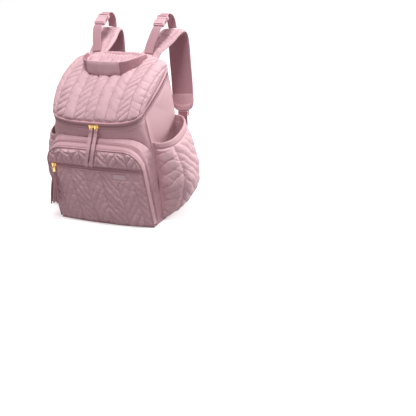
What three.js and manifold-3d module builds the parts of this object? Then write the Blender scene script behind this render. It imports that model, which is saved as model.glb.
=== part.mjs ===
// A quilted diaper backpack, standing on its base, with its straps looped back as for a round bar.
// Millimetres. X is the viewer's right, -Y the front, +Z up.
import * as THREE from 'three';
import { mergeVertices } from 'three/addons/utils/BufferGeometryUtils.js';
import Module from 'manifold-3d';

const wasm = await Module();
wasm.setup();

// Driving dimensions of the bag's body.
const GAP = 0.3;                // between pieces that touch
const HALF_WIDTH = 145;         // to the outside of a side gusset
const BACK_Y = 75;              // outside of the back panel
const BACK_TOP = 400;           // top of the lid at the back
const SHELL = 2.4;              // shell fabric with its foam
const BASE_THICK = 3;
const BASE_FRONT = -96;         // the base reaches under the front pocket
const BASE_CORNER = 14;
const BASE_TUCK = 3;            // how far the sides draw in at the base
const BACK_ROUND = 8;           // rounding where a side turns into the back

// The line where the main zip's coil runs, round the front and both sides.
const RIM = {
  frontY: -101, frontZ: 269, cornerX: 132, cornerY: -53, cornerZ: 294, backX: 139, backZ: 362, bow: 4,
};
const RIM_POWER = 3;            // squareness of the rim's front corners
const TAPE = 8;                 // zip tape's height below the coil
const TAPE_THICK = 1.2;
const LID_TAPE = 5;             // zip tape's height above the coil
const PIPING_R = 2.2;

// The front wall, at the base and half way, follows these.
const WALL = { frontY: -62, seamY: -35, belly: 32, flare: 14, footPower: 2.1, sideBow: 5 };

// The lid's crown, front to back, as two handles of one cubic curve.
const LID = { thick: 3, inset: 2, power: 2.6, squarer: 2.4, frontPull: [18, 48], backPull: [75, 8] };
const LID_RISE = LID_TAPE + 2.3 * PIPING_R + 6 * GAP;   // the lid panel's edge above the coil

// The front pocket, a box with a U-shaped zip.
const POCKET = {
  bottomY: -97, topY: -121, top: 213, halfWidth: 143, corner: 50, thick: 3,
  rearTop: 237, rearCorner: 46, wall: 2, zipZ: 162, zipTape: 12, lowerCrown: 5.5, upperCrown: 3,
  footBow: 9, topBow: 1.5,
};
const GUSSET_SPLIT = { front: 4, zip: 15, rear: 23 };   // strip edges, measured back from the panel

// Side pockets.
const SIDE = {
  front: -51, back: 71, bottom: 8, frontRim: 216, backRim: 248, belly: 57, rimBulge: 37, bellyShare: 0.46,
  power: 2.8, thick: 2.6, hem: 15,
};

// The shoulder straps, looped back as round a bar: the right one's centre line, from the bag's top down.
const STRAP = {
  path: [[79, 82, 399], [80, 98, 403], [84, 122, 411], [89, 146, 421], [93, 166, 430], [96, 182, 434],
    [98, 194, 430], [99, 200, 417], [100, 200, 390], [101, 195, 350], [104, 187, 305], [107, 177, 262],
    [110, 166, 224]],
  baseWidth: 48, width: 60, thick: 11, endThick: 7,
};
const LEAN = 5;                 // how far both straps and clips drift to the viewer's right, past their bases
const WEBBING = { width: 25, thick: 1.6 };
const LOWER_WEB = [[110.2, 162.1, 222], [111.2, 158.5, 209.6], [112, 154, 190], [114, 141, 145],
  [116, 118, 98], [117, 100, 76], [117.5, 83, 66], [117.5, 79.5, 56], [117.5, 79.4, 40]];

// The clip's webbing rises from the bag: its bends as shares of the way to the buckle, in x, y and z, and the
// length that lies straight behind the buckle.
const CLIP_WEB = { foot: [79, 85, 405.3], bends: [[0.136, 0.186, 0.25], [0.59, 0.471, 0.59]], straight: 8.3 };

// The side-release buckle lies along the front of the bar: its mouth, its slope and its two halves.
const BUCKLE = {
  x: 90, y: 146, z: 476, slope: 30, width: 31, thick: 9, corner: 4, socket: 23, plug: 12,
  cavityWidth: 24, cavityThick: 5.6, cavityDeep: 17, prong: 14, prongThick: 2.6, armWidth: 4.4, guideWidth: 7,
  window: 9, windowDeep: 2.6, slot: 3, slotWidth: 25.8, bar: 2.6,
};

// The loop's webbing goes over the bar and down behind it, measured from the buckle's mouth.
const LOOP_WEB = [[0, 10.9, 6.3], [0, 18.5, 9.6], [0, 28, 8], [0.5, 36.5, 1.5], [1, 42, -8],
  [1.5, 44, -18], [2, 44.3, -28], [3, 44.3, -36]];
const ADJUSTER = { width: 33, tall: 15, thick: 4, slot: 3, rail: 2.6 };
const ANCHOR = { width: 36, tall: 30, thick: 3, foot: 34 };

// The zip sliders, the rings in their eyes and what hangs from these.
const SLIDER = { long: 13, wide: 8, thick: 3.4, clear: 0.9, bailWidth: 3.2, bailWall: 1.3, eye: 2.4 };
const RING = { width: 8.4, tall: 8.6, wire: 1.3, corner: 1.5 };
const PULL = { apart: 7.5, meet: 9, long: 90, width: 8.5, thick: 2.6, tipWidth: 13, drift: 17 };
const TASSEL = {
  capR: 4.2, capTall: 11, strips: 3, strip: 9, stripThick: 1.4, step: 0.9, long: 92, drift: -13,
};
const POCKET_SLIDER_Z = 148;    // of the U-shaped zip's slider, on the pocket's left side
const PANEL_SLIDER_IN = 21;     // of the level zip's slider, from the pocket's left side
const LABEL = { x: 73, half: 19, low: 136, high: 149, thick: 0.8 };

const COLOURS = {
  shell: 0xd3a6ae, quilt: 0xdbb0b8, dark: 0x7b4c58, leather: 0xc29ba2, gold: 0xb48f4f, lining: 0xcfc4c2,
  plastic: 0xc99aa3, webbing: 0x9c6470,
};
const FINISHES = {};
for (const [name, color] of Object.entries(COLOURS)) {
  const metal = name === 'gold';
  const [roughness, metalness] = metal ? [0.3, 1] : [0.8, 0];
  FINISHES[name] = new THREE.MeshStandardMaterial({ color, roughness, metalness });
}

const { lerp, clamp } = THREE.MathUtils;
const model = new THREE.Group();

/** Adds a named mesh to the model. */
function piece(name, finish, geometry) {
  const mesh = new THREE.Mesh(geometry, FINISHES[finish]);
  mesh.name = name;
  model.add(mesh);
  return mesh;
}

/** A closed geometry from points and triangles, turned inside out if its volume is negative. */
function closed(points, faces) {
  let volume = 0;
  for (const [a, b, c] of faces) {
    volume += points[a].dot(new THREE.Vector3().crossVectors(points[b], points[c]));
  }
  const index = faces.flatMap(([a, b, c]) => (volume < 0 ? [a, c, b] : [a, b, c]));
  const geometry = new THREE.BufferGeometry();
  const numbers = points.flatMap((p) => [p.x, p.y, p.z]);
  geometry.setAttribute('position', new THREE.Float32BufferAttribute(numbers, 3));
  geometry.setIndex(index);
  return geometry;
}

/** A geometry with nothing but its points, and no point twice. */
function bare(geometry) {
  const copy = geometry.clone();
  copy.deleteAttribute('normal');
  copy.deleteAttribute('uv');
  return mergeVertices(copy, 1e-4);
}

/** The other side's copy of a geometry, mirrored in X. */
function mirrored(geometry) {
  const copy = bare(geometry).scale(-1, 1, 1);
  const index = Array.from(copy.index.array);
  for (let i = 0; i < index.length; i += 3) [index[i], index[i + 1]] = [index[i + 1], index[i]];
  copy.setIndex(index);
  return copy;
}

/** Adds a right-hand piece and its left-hand copy. */
function pair(name, finish, geometry) {
  piece(`${name}_right`, finish, geometry);
  piece(`${name}_left`, finish, mirrored(geometry));
}

/** A sheet of fabric: surface(u, v) is its outside, with v up where u runs to the right. It is thickened
 *  inwards by a length, or up to a second surface. */
function slab(surface, across, along, thick) {
  const at = (i, j) => surface(clamp(i / across, 0, 1), clamp(j / along, 0, 1));
  const outside = [];
  const inside = [];
  for (let j = 0; j <= along; j += 1) {
    for (let i = 0; i <= across; i += 1) {
      const right = at(Math.min(i + 1, across), j).sub(at(Math.max(i - 1, 0), j));
      const up = at(i, Math.min(j + 1, along)).sub(at(i, Math.max(j - 1, 0)));
      const normal = right.cross(up).normalize();
      outside.push(at(i, j));
      const under = typeof thick === 'function' ? thick(i / across, j / along) : null;
      inside.push(under ?? at(i, j).addScaledVector(normal, -thick));
    }
  }
  const row = across + 1;
  const count = outside.length;
  const faces = [];
  const quad = (a, b, c, d) => faces.push([a, b, c], [a, c, d]);
  for (let j = 0; j < along; j += 1) {
    for (let i = 0; i < across; i += 1) {
      const a = j * row + i;
      quad(a, a + 1, a + row + 1, a + row);
      quad(count + a, count + a + row, count + a + row + 1, count + a + 1);
    }
  }
  const edge = (a, b) => quad(b, a, count + a, count + b);
  for (let i = 0; i < across; i += 1) {
    edge(i, i + 1);
    edge(along * row + i + 1, along * row + i);
  }
  for (let j = 0; j < along; j += 1) {
    edge((j + 1) * row, j * row);
    edge(j * row + across, (j + 1) * row + across);
  }
  return closed([...outside, ...inside], faces);
}

/** Joins rings of points, one after the other, and closes both ends. */
function loft(rings) {
  const size = rings[0].length;
  const points = rings.flat();
  const faces = [];
  for (let k = 0; k + 1 < rings.length; k += 1) {
    for (let i = 0; i < size; i += 1) {
      const a = k * size + i;
      const b = k * size + ((i + 1) % size);
      faces.push([a, b, b + size], [a, b + size, a + size]);
    }
  }
  for (const [start, flip] of [[0, true], [(rings.length - 1) * size, false]]) {
    const middle = new THREE.Vector3();
    for (let i = 0; i < size; i += 1) middle.add(points[start + i]);
    points.push(middle.divideScalar(size));
    for (let i = 0; i < size; i += 1) {
      const [a, b] = [start + i, start + ((i + 1) % size)];
      faces.push(flip ? [b, a, points.length - 1] : [a, b, points.length - 1]);
    }
  }
  return closed(points, faces);
}

/** A flat strap carried along a smooth path; sizes(t) is its width and thickness from end to end. */
function ribbon(path, steps, sizes, lateral = new THREE.Vector3(1, 0, 0), chamferShare = 0) {
  const places = path.map((place) => new THREE.Vector3(...place));
  const curve = new THREE.CatmullRomCurve3(places, false, 'centripetal');
  const rings = [];
  for (let k = 0; k <= steps; k += 1) {
    const t = k / steps;
    const centre = curve.getPointAt(t);
    const tangent = curve.getTangentAt(t);
    const normal = new THREE.Vector3().crossVectors(lateral, tangent).normalize();
    const side = new THREE.Vector3().crossVectors(tangent, normal).normalize();
    const [width, thick] = sizes(t);
    const cut = chamferShare * thick;
    const outline = cut > 0
      ? [[width / 2 - cut, thick / 2], [width / 2, thick / 2 - cut], [width / 2, cut - thick / 2],
        [width / 2 - cut, -thick / 2], [cut - width / 2, -thick / 2], [-width / 2, cut - thick / 2],
        [-width / 2, thick / 2 - cut], [cut - width / 2, thick / 2]]
      : [[width / 2, thick / 2], [width / 2, -thick / 2], [-width / 2, -thick / 2], [-width / 2, thick / 2]];
    rings.push(outline.map(([a, b]) => centre.clone().addScaledVector(side, a).addScaledVector(normal, b)));
  }
  return loft(rings);
}

/** A round tube along a list of points. */
function tube(points, radius, sides, steps) {
  const circle = new THREE.Shape();
  for (let k = 0; k < sides; k += 1) {
    const angle = (k * 2 * Math.PI) / sides;
    const place = [radius * Math.cos(angle), radius * Math.sin(angle)];
    if (k === 0) circle.moveTo(...place);
    else circle.lineTo(...place);
  }
  const curve = new THREE.CatmullRomCurve3(points, false, 'centripetal');
  return new THREE.ExtrudeGeometry(circle, { steps, extrudePath: curve });
}

/** A flat plate with rounded corners, from z = 0 up, between two X and two Y values. */
function roundedPlate(x0, x1, y0, y1, radius, thick, holes = []) {
  const shape = new THREE.Shape();
  shape.moveTo(x0 + radius, y0);
  shape.lineTo(x1 - radius, y0);
  shape.absarc(x1 - radius, y0 + radius, radius, -Math.PI / 2, 0);
  shape.lineTo(x1, y1 - radius);
  shape.absarc(x1 - radius, y1 - radius, radius, 0, Math.PI / 2);
  shape.lineTo(x0 + radius, y1);
  shape.absarc(x0 + radius, y1 - radius, radius, Math.PI / 2, Math.PI);
  shape.lineTo(x0, y0 + radius);
  shape.absarc(x0 + radius, y0 + radius, radius, Math.PI, 1.5 * Math.PI);
  for (const [hx0, hx1, hy0, hy1] of holes) {
    const hole = new THREE.Path();
    hole.moveTo(hx0, hy0);
    hole.lineTo(hx0, hy1);
    hole.lineTo(hx1, hy1);
    hole.lineTo(hx1, hy0);
    shape.holes.push(hole);
  }
  return new THREE.ExtrudeGeometry(shape, { depth: thick, bevelEnabled: false, curveSegments: 4 });
}

/** Turns a closed geometry into a solid that can be cut and joined. */
function asSolid(geometry) {
  const merged = bare(geometry);
  return new wasm.Manifold(new wasm.Mesh({
    numProp: 3,
    vertProperties: new Float32Array(merged.attributes.position.array),
    triVerts: new Uint32Array(merged.index.array),
  }));
}

/** Turns a cut or joined solid back into a geometry. */
function asGeometry(solid) {
  const mesh = solid.getMesh();
  const geometry = new THREE.BufferGeometry();
  geometry.setAttribute('position', new THREE.BufferAttribute(mesh.vertProperties, 3));
  geometry.setIndex(new THREE.BufferAttribute(mesh.triVerts, 1));
  return geometry;
}

/** A plain block between two X, two Y and two Z values. */
function block(x0, x1, y0, y1, z0, z1) {
  const box = new THREE.BoxGeometry(x1 - x0, y1 - y0, z1 - z0);
  return box.translate((x0 + x1) / 2, (y0 + y1) / 2, (z0 + z1) / 2);
}

/** A squared arch over s from -1 to 1: the share of the half-width, and the share of the drop to the side. */
function arch(s, power) {
  const across = Math.sin((s * Math.PI) / 2);
  const drop = 1 - Math.max(0, 1 - Math.abs(across) ** power) ** (1 / power);
  return [across, drop];
}

/** How far a side draws in where it rounds off into the back. */
function roundOff(y) {
  const into = Math.max(0, y - (BACK_Y - BACK_ROUND));
  return BACK_ROUND - Math.sqrt(Math.max(0, BACK_ROUND ** 2 - into ** 2));
}

const BODY_FOOT = BASE_THICK + GAP;
const SIDE_BACK = BACK_Y - SHELL - GAP;

/** The zip's coil line from the left back end (k = -1) over the front (0) to the right back end (1). */
function rimPoint(k, out = 0, up = 0) {
  const side = Math.sign(k) || 1;
  const place = Math.abs(k) * 2;
  if (place <= 1) {
    const [across, drop] = arch(place, RIM_POWER);
    const x = (RIM.cornerX + out) * across;
    const y = lerp(RIM.frontY - out, RIM.cornerY, drop);
    return new THREE.Vector3(side * x, y, lerp(RIM.frontZ, RIM.cornerZ, drop) + up);
  }
  const t = place - 1;
  const y = lerp(RIM.cornerY, SIDE_BACK, t);
  const x = lerp(RIM.cornerX, RIM.backX, t) + RIM.bow * Math.sin(Math.PI * t) + out - roundOff(y);
  return new THREE.Vector3(side * x, y, lerp(RIM.cornerZ, RIM.backZ, t) + up);
}

/** Half-width of the body at its front seam, at a share of its height. */
function seamX(v) {
  return HALF_WIDTH - BASE_TUCK * (1 - v) ** 6 - (HALF_WIDTH - RIM.cornerX) * v ** 6;
}

/** Depth of the front seam at a share of the body's height. */
function seamY(v) {
  return WALL.seamY - WALL.belly * v + WALL.flare * v ** 8;
}

/** Squareness of the front wall's section: round at the foot, like the rim at the top. */
function wallPower(v) {
  return lerp(WALL.footPower, RIM_POWER, v ** 3);
}

/** The outside of the front wall: s from -1 to 1 across, v from the base to the zip tape. */
function wallPoint(s, v, inset = 0) {
  const [across, drop] = arch(s, wallPower(v));
  const front = lerp(WALL.frontY, RIM.frontY, v);
  const top = lerp(RIM.frontZ, RIM.cornerZ, drop) - TAPE;
  const x = (seamX(v) - inset) * across;
  const y = lerp(front, seamY(v), drop) + inset * (1 - drop);
  return new THREE.Vector3(x, y, lerp(BODY_FOOT, top, v));
}

/** Depth of the front wall's outside at a place seen from the front. */
function wallDepth(x, z) {
  let v = z / RIM.frontZ;
  let drop = 0;
  for (let k = 0; k < 6; k += 1) {
    const share = Math.min(1, Math.abs(x) / seamX(v));
    const power = wallPower(clamp(v, 0, 1));
    drop = 1 - (1 - share ** power) ** (1 / power);
    const top = lerp(RIM.frontZ, RIM.cornerZ, drop) - TAPE;
    v = (z - BODY_FOOT) / (top - BODY_FOOT);
  }
  return lerp(lerp(WALL.frontY, RIM.frontY, v), seamY(v), drop);
}

/** The outside of the right gusset: u from the front seam to the back, v from the base to the zip tape. */
function gussetPoint(u, v, inset = 0) {
  const y = lerp(seamY(v) + GAP, SIDE_BACK, u);
  const backX = HALF_WIDTH - BASE_TUCK * (1 - v) ** 6 - (HALF_WIDTH - RIM.backX) * v ** 6;
  const bow = RIM.bow * v ** 2 + WALL.sideBow * Math.sin(Math.PI * v);
  const x = lerp(seamX(v), backX, u) + bow * Math.sin(Math.PI * u) - roundOff(y) - inset;
  const top = lerp(RIM.cornerZ, RIM.backZ, u) - TAPE;
  return new THREE.Vector3(x, y, lerp(BODY_FOOT, top, v));
}

/** Half-width of the right gusset's outside at a depth and height. */
function gussetWidth(y, z) {
  let v = z / RIM.cornerZ;
  let u = 0.5;
  for (let k = 0; k < 6; k += 1) {
    u = clamp((y - seamY(v)) / (SIDE_BACK - seamY(v)), 0, 1);
    v = (z - BODY_FOOT) / (lerp(RIM.cornerZ, RIM.backZ, u) - TAPE - BODY_FOOT);
  }
  return gussetPoint(u, v).x;
}

/** The outside of the lid: s from -1 to 1 across, t from its front to its back. */
function lidPoint(s, t, inset = 0) {
  const [across, drop] = arch(s, lerp(RIM_POWER, LID.power, t) + LID.squarer * Math.sin(Math.PI * t));
  const edge = rimPoint(0.5 + t / 2);
  const start = new THREE.Vector3(0, RIM.frontY + LID.inset, RIM.frontZ + LID_RISE);
  const end = new THREE.Vector3(0, BACK_Y, BACK_TOP);
  const curve = new THREE.CubicBezierCurve3(
    start,
    start.clone().add(new THREE.Vector3(0, ...LID.frontPull)),
    end.clone().sub(new THREE.Vector3(0, ...LID.backPull)),
    end,
  );
  const crown = curve.getPoint(t);
  const slope = curve.getTangent(t);
  const deep = inset * (1 - drop);
  const x = (edge.x - LID.inset - inset) * across;
  const y = lerp(crown.y, edge.y + (BACK_Y - SIDE_BACK) * t ** 4, drop) + deep * slope.z;
  return new THREE.Vector3(x, Math.min(y, BACK_Y), lerp(crown.z, edge.z + LID_RISE, drop) - deep * slope.y);
}

/** The body: base, front wall, gussets, back, lining, zip tape and the roll of fabric at the top. */
function buildBody() {
  const halfBase = HALF_WIDTH - BASE_TUCK - GAP;
  const sole = new THREE.Shape();
  sole.moveTo(-halfBase, BASE_FRONT);
  sole.quadraticCurveTo(0, BASE_FRONT - 2 * POCKET.footBow, halfBase, BASE_FRONT);
  sole.lineTo(halfBase, BACK_Y - GAP - BASE_CORNER);
  sole.absarc(halfBase - BASE_CORNER, BACK_Y - GAP - BASE_CORNER, BASE_CORNER, 0, Math.PI / 2);
  sole.absarc(BASE_CORNER - halfBase, BACK_Y - GAP - BASE_CORNER, BASE_CORNER, Math.PI / 2, Math.PI);
  piece('base_panel', 'shell',
    new THREE.ExtrudeGeometry(sole, { depth: BASE_THICK, bevelEnabled: false, curveSegments: 12 }));

  piece('front_wall', 'shell',
    slab((u, v) => wallPoint(2 * u - 1, v), 18, 8, (u, v) => wallPoint(2 * u - 1, v, SHELL)));
  pair('side_gusset', 'shell', slab(gussetPoint, 8, 8, (u, v) => gussetPoint(u, v, SHELL)));

  const backHalf = HALF_WIDTH - BACK_ROUND;
  const shoulder = RIM.backZ - TAPE;
  const shape = new THREE.Shape();
  shape.moveTo(-backHalf, BODY_FOOT);
  shape.lineTo(backHalf, BODY_FOOT);
  shape.lineTo(backHalf, shoulder);
  const topSteps = 12;
  for (let k = 0; k <= topSteps; k += 1) {
    const edge = lidPoint(1 - (2 * k) / topSteps, 1, LID.thick + 4 * GAP);
    shape.lineTo(edge.x, edge.z);
  }
  shape.lineTo(-backHalf, shoulder);
  const back = new THREE.ExtrudeGeometry(shape, { depth: SHELL, bevelEnabled: false });
  piece('back_panel', 'shell', back.rotateX(Math.PI / 2).translate(0, BACK_Y, 0));

  const padHalf = 96;
  const padFoot = 36;
  const padTop = 352;
  const padThick = 7;
  const pad = slab((u, v) => {
    const swell = (Math.sin(Math.PI * u) * Math.sin(Math.PI * v)) ** 0.3;
    const y = BACK_Y + GAP + 2 + (padThick - 2) * swell;
    return new THREE.Vector3(lerp(padHalf, -padHalf, u), y, lerp(padFoot, padTop, v));
  }, 8, 8, 2);
  piece('back_padding', 'shell', pad);

  const boardInset = 8;
  const boardThick = 2;
  const board = roundedPlate(boardInset - halfBase, halfBase - boardInset, WALL.seamY + boardInset - SHELL,
    SIDE_BACK - boardInset, BASE_CORNER, boardThick);
  piece('base_board', 'dark', board.translate(0, 0, BODY_FOOT + LINING.foot + LINING.thick + GAP));

  piece('lining', 'lining', buildLining());
  piece('inner_pocket', 'lining', buildInnerPocket());

  const bodyTape = slab((u, v) => rimPoint(2 * u - 1, 0, lerp(GAP - TAPE, -GAP, v)), 32, 1, TAPE_THICK);
  piece('body_zip_tape', 'dark', bodyTape);
}

// The lining hangs inside the shell, clear of its walls.
const LINING = { thick: 0.8, clear: 4.2, foot: 0.3 };

/** One ring of the lining at a share of the body's height, as far in from the shell as inset says. */
function liningRing(v, inset) {
  const ring = [];
  const frontSteps = 12;
  for (let k = 0; k <= frontSteps; k += 1) ring.push(wallPoint((2 * k) / frontSteps - 1, v, inset));
  const sideSteps = 3;
  const backInset = BACK_Y - SHELL - inset;
  const side = [];
  for (let k = 1; k <= sideSteps; k += 1) {
    const point = gussetPoint(k / sideSteps, v, inset);
    point.y = Math.min(point.y, backInset);
    side.push(point);
  }
  const backSteps = 4;
  const end = side[sideSteps - 1];
  ring.push(...side);
  for (let k = 1; k < backSteps; k += 1) {
    ring.push(new THREE.Vector3(lerp(end.x, -end.x, k / backSteps), backInset, end.z));
  }
  for (const point of side.reverse()) ring.push(new THREE.Vector3(-point.x, point.y, point.z));
  return ring;
}

/** An open-topped bag of thin fabric. */
function buildLining() {
  const rows = [0, 0.3, 0.6, 0.85, 0.97];
  const footZ = BODY_FOOT + LINING.foot;
  const outer = rows.map((v) => liningRing(v, LINING.clear));
  const inner = rows.map((v) => liningRing(v, LINING.clear + LINING.thick));
  for (const point of outer[0]) point.z = footZ;
  for (const point of inner[0]) point.z = footZ + LINING.thick;
  return loft([...outer, ...inner.reverse()]);
}

/** A slip pocket on the inside of the back. */
function buildInnerPocket() {
  const halfWidth = 100;
  const [foot, top] = [60, 225];
  const thick = 1;
  const bow = 16;
  const seat = BACK_Y - SHELL - LINING.clear - LINING.thick - GAP - thick;
  return slab((u, v) => {
    const out = Math.sin(Math.PI * u) ** 0.7 * Math.sin((Math.PI / 2) * v) ** 0.6;
    return new THREE.Vector3(lerp(-halfWidth, halfWidth, u), seat - bow * out, lerp(foot, top, v));
  }, 10, 5, thick);
}

/** The lid, its piping and its half of the zip's tape. */
function buildLid() {
  piece('lid_panel', 'quilt', slab((u, t) => lidPoint(2 * u - 1, t), 18, 12,
    (u, t) => lidPoint(2 * u - 1, t, LID.thick)));
  const tape = slab((u, v) => rimPoint(2 * u - 1, 0, lerp(GAP, LID_TAPE - GAP, v)), 32, 1, TAPE_THICK);
  piece('lid_zip_tape', 'dark', tape);
  const line = [];
  const steps = 40;
  const pipingUp = LID_TAPE + PIPING_R + 2 * GAP;
  for (let k = 0; k <= steps; k += 1) line.push(rimPoint((2 * k) / steps - 1, -1, pipingUp));
  piece('lid_piping', 'shell', tube(line, PIPING_R, 8, 56));
}

// The carry handle lies forward on the lid with its band on edge.
const HANDLE = {
  endX: 88, endY: 61, sleeveY: -11, sleeveHalf: 50, thick: 3, height: 32, endHeight: 12, lift: 2.4,
  endLift: 0.4, sleeveThick: 7, wrap: 1.6,
};

/** Height of the lid's outside at a place seen from above. */
function lidHeight(x, y) {
  let t = 0.5;
  let s = 0;
  for (let k = 0; k < 40; k += 1) {
    const at = lidPoint(s, t);
    const edge = lidPoint(1, t).x;
    t = clamp(t + (y - at.y) / 400, 0, 1);
    s = Math.asin(clamp(x / edge, -1, 1)) / (Math.PI / 2);
  }
  return lidPoint(s, t).z;
}

/** The handle's path in plan from its left to its right end, with the height of the band's lower edge. */
function handlePath(from, to, count) {
  const { endX, endY, sleeveY, sleeveHalf } = HANDLE;
  const turn = (endY - sleeveY) / 2;
  const plan = new THREE.CatmullRomCurve3([
    new THREE.Vector3(-endX, endY, 0),
    new THREE.Vector3(-endX + turn / 4, endY - turn, 0),
    new THREE.Vector3(-sleeveHalf - turn / 5, sleeveY + turn / 5, 0),
    new THREE.Vector3(-sleeveHalf / 2, sleeveY, 0),
    new THREE.Vector3(sleeveHalf / 2, sleeveY, 0),
    new THREE.Vector3(sleeveHalf + turn / 5, sleeveY + turn / 5, 0),
    new THREE.Vector3(endX - turn / 4, endY - turn, 0),
    new THREE.Vector3(endX, endY, 0),
  ], false, 'centripetal');
  const stations = [];
  for (let k = 0; k <= count; k += 1) {
    const t = lerp(from, to, k / count);
    stations.push({ t, at: plan.getPointAt(t), along: plan.getTangentAt(t) });
  }
  return stations;
}

/** A band standing on its lower edge along the handle's path. */
function handleBand(from, to, count, thick, tallAt, cutAway = 0) {
  const rings = handlePath(from, to, count).map(({ t, at, along }) => {
    const side = new THREE.Vector3(-along.y, along.x, 0).normalize();
    const foot = Math.max(lidHeight(at.x + side.x * thick, at.y + side.y * thick), lidHeight(at.x, at.y));
    const rise = clamp(4 * Math.min(t, 1 - t), 0, 1);
    const low = foot + lerp(HANDLE.endLift, HANDLE.lift, rise) - cutAway;
    const tall = tallAt(t) + 2 * cutAway;
    return [[-1, 0], [1, 0], [1, 1], [-1, 1]].map(([a, b]) => new THREE.Vector3(
      at.x + (side.x * a * thick) / 2, at.y + (side.y * a * thick) / 2, low + b * tall));
  });
  return loft(rings);
}

/** The carry handle: a webbing band and the leather-look sleeve wrapped round its middle. */
function buildHandle() {
  const tallAt = (t) => lerp(HANDLE.endHeight, HANDLE.height, Math.min(1, 3.4 * Math.min(t, 1 - t)));
  piece('handle_band', 'shell', handleBand(0, 1, 30, HANDLE.thick, tallAt));
  const [from, to] = [0.32, 0.68];
  const past = 0.02;
  const bore = HANDLE.thick + 2 * GAP;
  const wrap = asSolid(handleBand(from, to, 12, HANDLE.sleeveThick, () => HANDLE.height, HANDLE.wrap));
  const core = asSolid(handleBand(from - past, to + past, 14, bore, () => HANDLE.height, GAP));
  piece('handle_sleeve', 'leather', asGeometry(wrap.subtract(core)));
}

/** The outside of the right side pocket: u from the front to the back, v from its foot to its rim. */
function sidePocketPoint(u, v) {
  const [across, drop] = arch(2 * u - 1, SIDE.power);
  const back = (1 + across) / 2;
  const y = lerp(SIDE.front, SIDE.back, back);
  const z = lerp(SIDE.bottom, lerp(SIDE.frontRim, SIDE.backRim, back ** 1.6), v);
  const { belly, rimBulge, bellyShare } = SIDE;
  const over = Math.max(0, v - bellyShare) / (1 - bellyShare);
  const swell = v < bellyShare
    ? belly * Math.sin((Math.PI / 2) * (v / bellyShare)) ** 0.7
    : lerp(belly, rimBulge, over ** 1.6);
  const stand = GAP + SIDE.thick;
  return new THREE.Vector3(gussetWidth(y, z) + stand + (1 - drop) * swell, y, z);
}

/** The two side pockets, each with a smooth hem band along its rim. */
function buildSidePockets() {
  const hemShare = SIDE.hem / (SIDE.frontRim - SIDE.bottom);
  const split = 1 - hemShare;
  const gapShare = GAP / (SIDE.frontRim - SIDE.bottom);
  const pocket = slab((u, v) => sidePocketPoint(u, v * split), 14, 12, SIDE.thick);
  pair('side_pocket', 'quilt', pocket);
  const hem = slab((u, v) => sidePocketPoint(u, lerp(split + gapShare, 1, v)), 14, 2, SIDE.thick);
  pair('side_pocket_hem', 'shell', hem);
}

/** The front pocket's outline: p from -1 at the lower left, over the top at 0, to 1 at the lower right. */
function pocketOutline(p, half, top, corner) {
  const side = Math.sign(p) || 1;
  const flat = half - corner;
  const bend = (corner * Math.PI) / 2;
  const run = flat + bend + (top - corner - BODY_FOOT);
  let along = Math.abs(p) * run;
  if (along <= flat) return [side * along, top];
  along -= flat;
  if (along <= bend) {
    const angle = along / corner;
    return [side * (flat + corner * Math.sin(angle)), top - corner + corner * Math.cos(angle)];
  }
  return [side * half, top - corner - (along - bend)];
}

/** Depth of the plane that the front pocket's panel is sewn to, at a height. */
function panelPlane(z) {
  return lerp(POCKET.bottomY, POCKET.topY, (z - BODY_FOOT) / (POCKET.top - BODY_FOOT));
}

/** How far the panel bows forward in its middle at a height. */
function panelBow(z) {
  const { footBow, topBow, zipZ } = POCKET;
  return lerp(footBow, topBow, Math.min(1, (z - BODY_FOOT) / (zipZ - BODY_FOOT)));
}

/** The outside of the pocket panel: u from -1 to 1 across, z its height, out how far it stands off, and inset
 *  how far its edge lies in from the outline. */
function panelPoint(u, z, out = 0, inset = 0) {
  const { halfWidth, top, corner, zipZ, lowerCrown, upperCrown } = POCKET;
  const into = Math.max(0, z - (top - corner));
  const half = halfWidth - corner + Math.sqrt(Math.max(0, (corner - inset) ** 2 - into ** 2));
  const share = (u * half) / halfWidth;
  const crown = z < zipZ
    ? lowerCrown * Math.sin((Math.PI * (z - BODY_FOOT)) / (zipZ - BODY_FOOT))
    : upperCrown * Math.sin((Math.PI * (z - zipZ)) / (top - zipZ));
  const round = crown * (1 - share ** 4) + panelBow(z) * (1 - share ** 2);
  return new THREE.Vector3(u * half, panelPlane(z) - round - out, z);
}

/** Depth of the level zip's tape, which runs straight across the bowed panel. */
function levelTapeY() {
  const flush = 0.35;
  return panelPoint(flush, POCKET.zipZ).y;
}

/** The pocket's side and top strip: p round the outline, back millimetres behind the panel's edge or, where
 *  back is null, up to the front wall. Inset is how far the point lies under the strip's outside. */
function pocketStrip(p, back, inset = 0) {
  const { halfWidth, top, corner, rearTop, rearCorner, wall } = POCKET;
  const [fx, fz] = pocketOutline(p, halfWidth - inset, top - inset, corner - inset);
  const rearHalf = seamX(fz / RIM.frontZ) - GAP - inset;
  const [rx, rz] = pocketOutline(p, rearHalf, rearTop - inset, rearCorner - inset);
  const front = new THREE.Vector3(fx, panelPlane(fz), fz);
  const covered = wall - inset + 2 * GAP;
  const depth = wallDepth(Math.abs(rx) - covered, rz);
  const rear = new THREE.Vector3(rx, depth - 3 * GAP, rz);
  const share = back === null ? 1 : back / rear.distanceTo(front);
  return front.lerp(rear, share);
}

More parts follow.
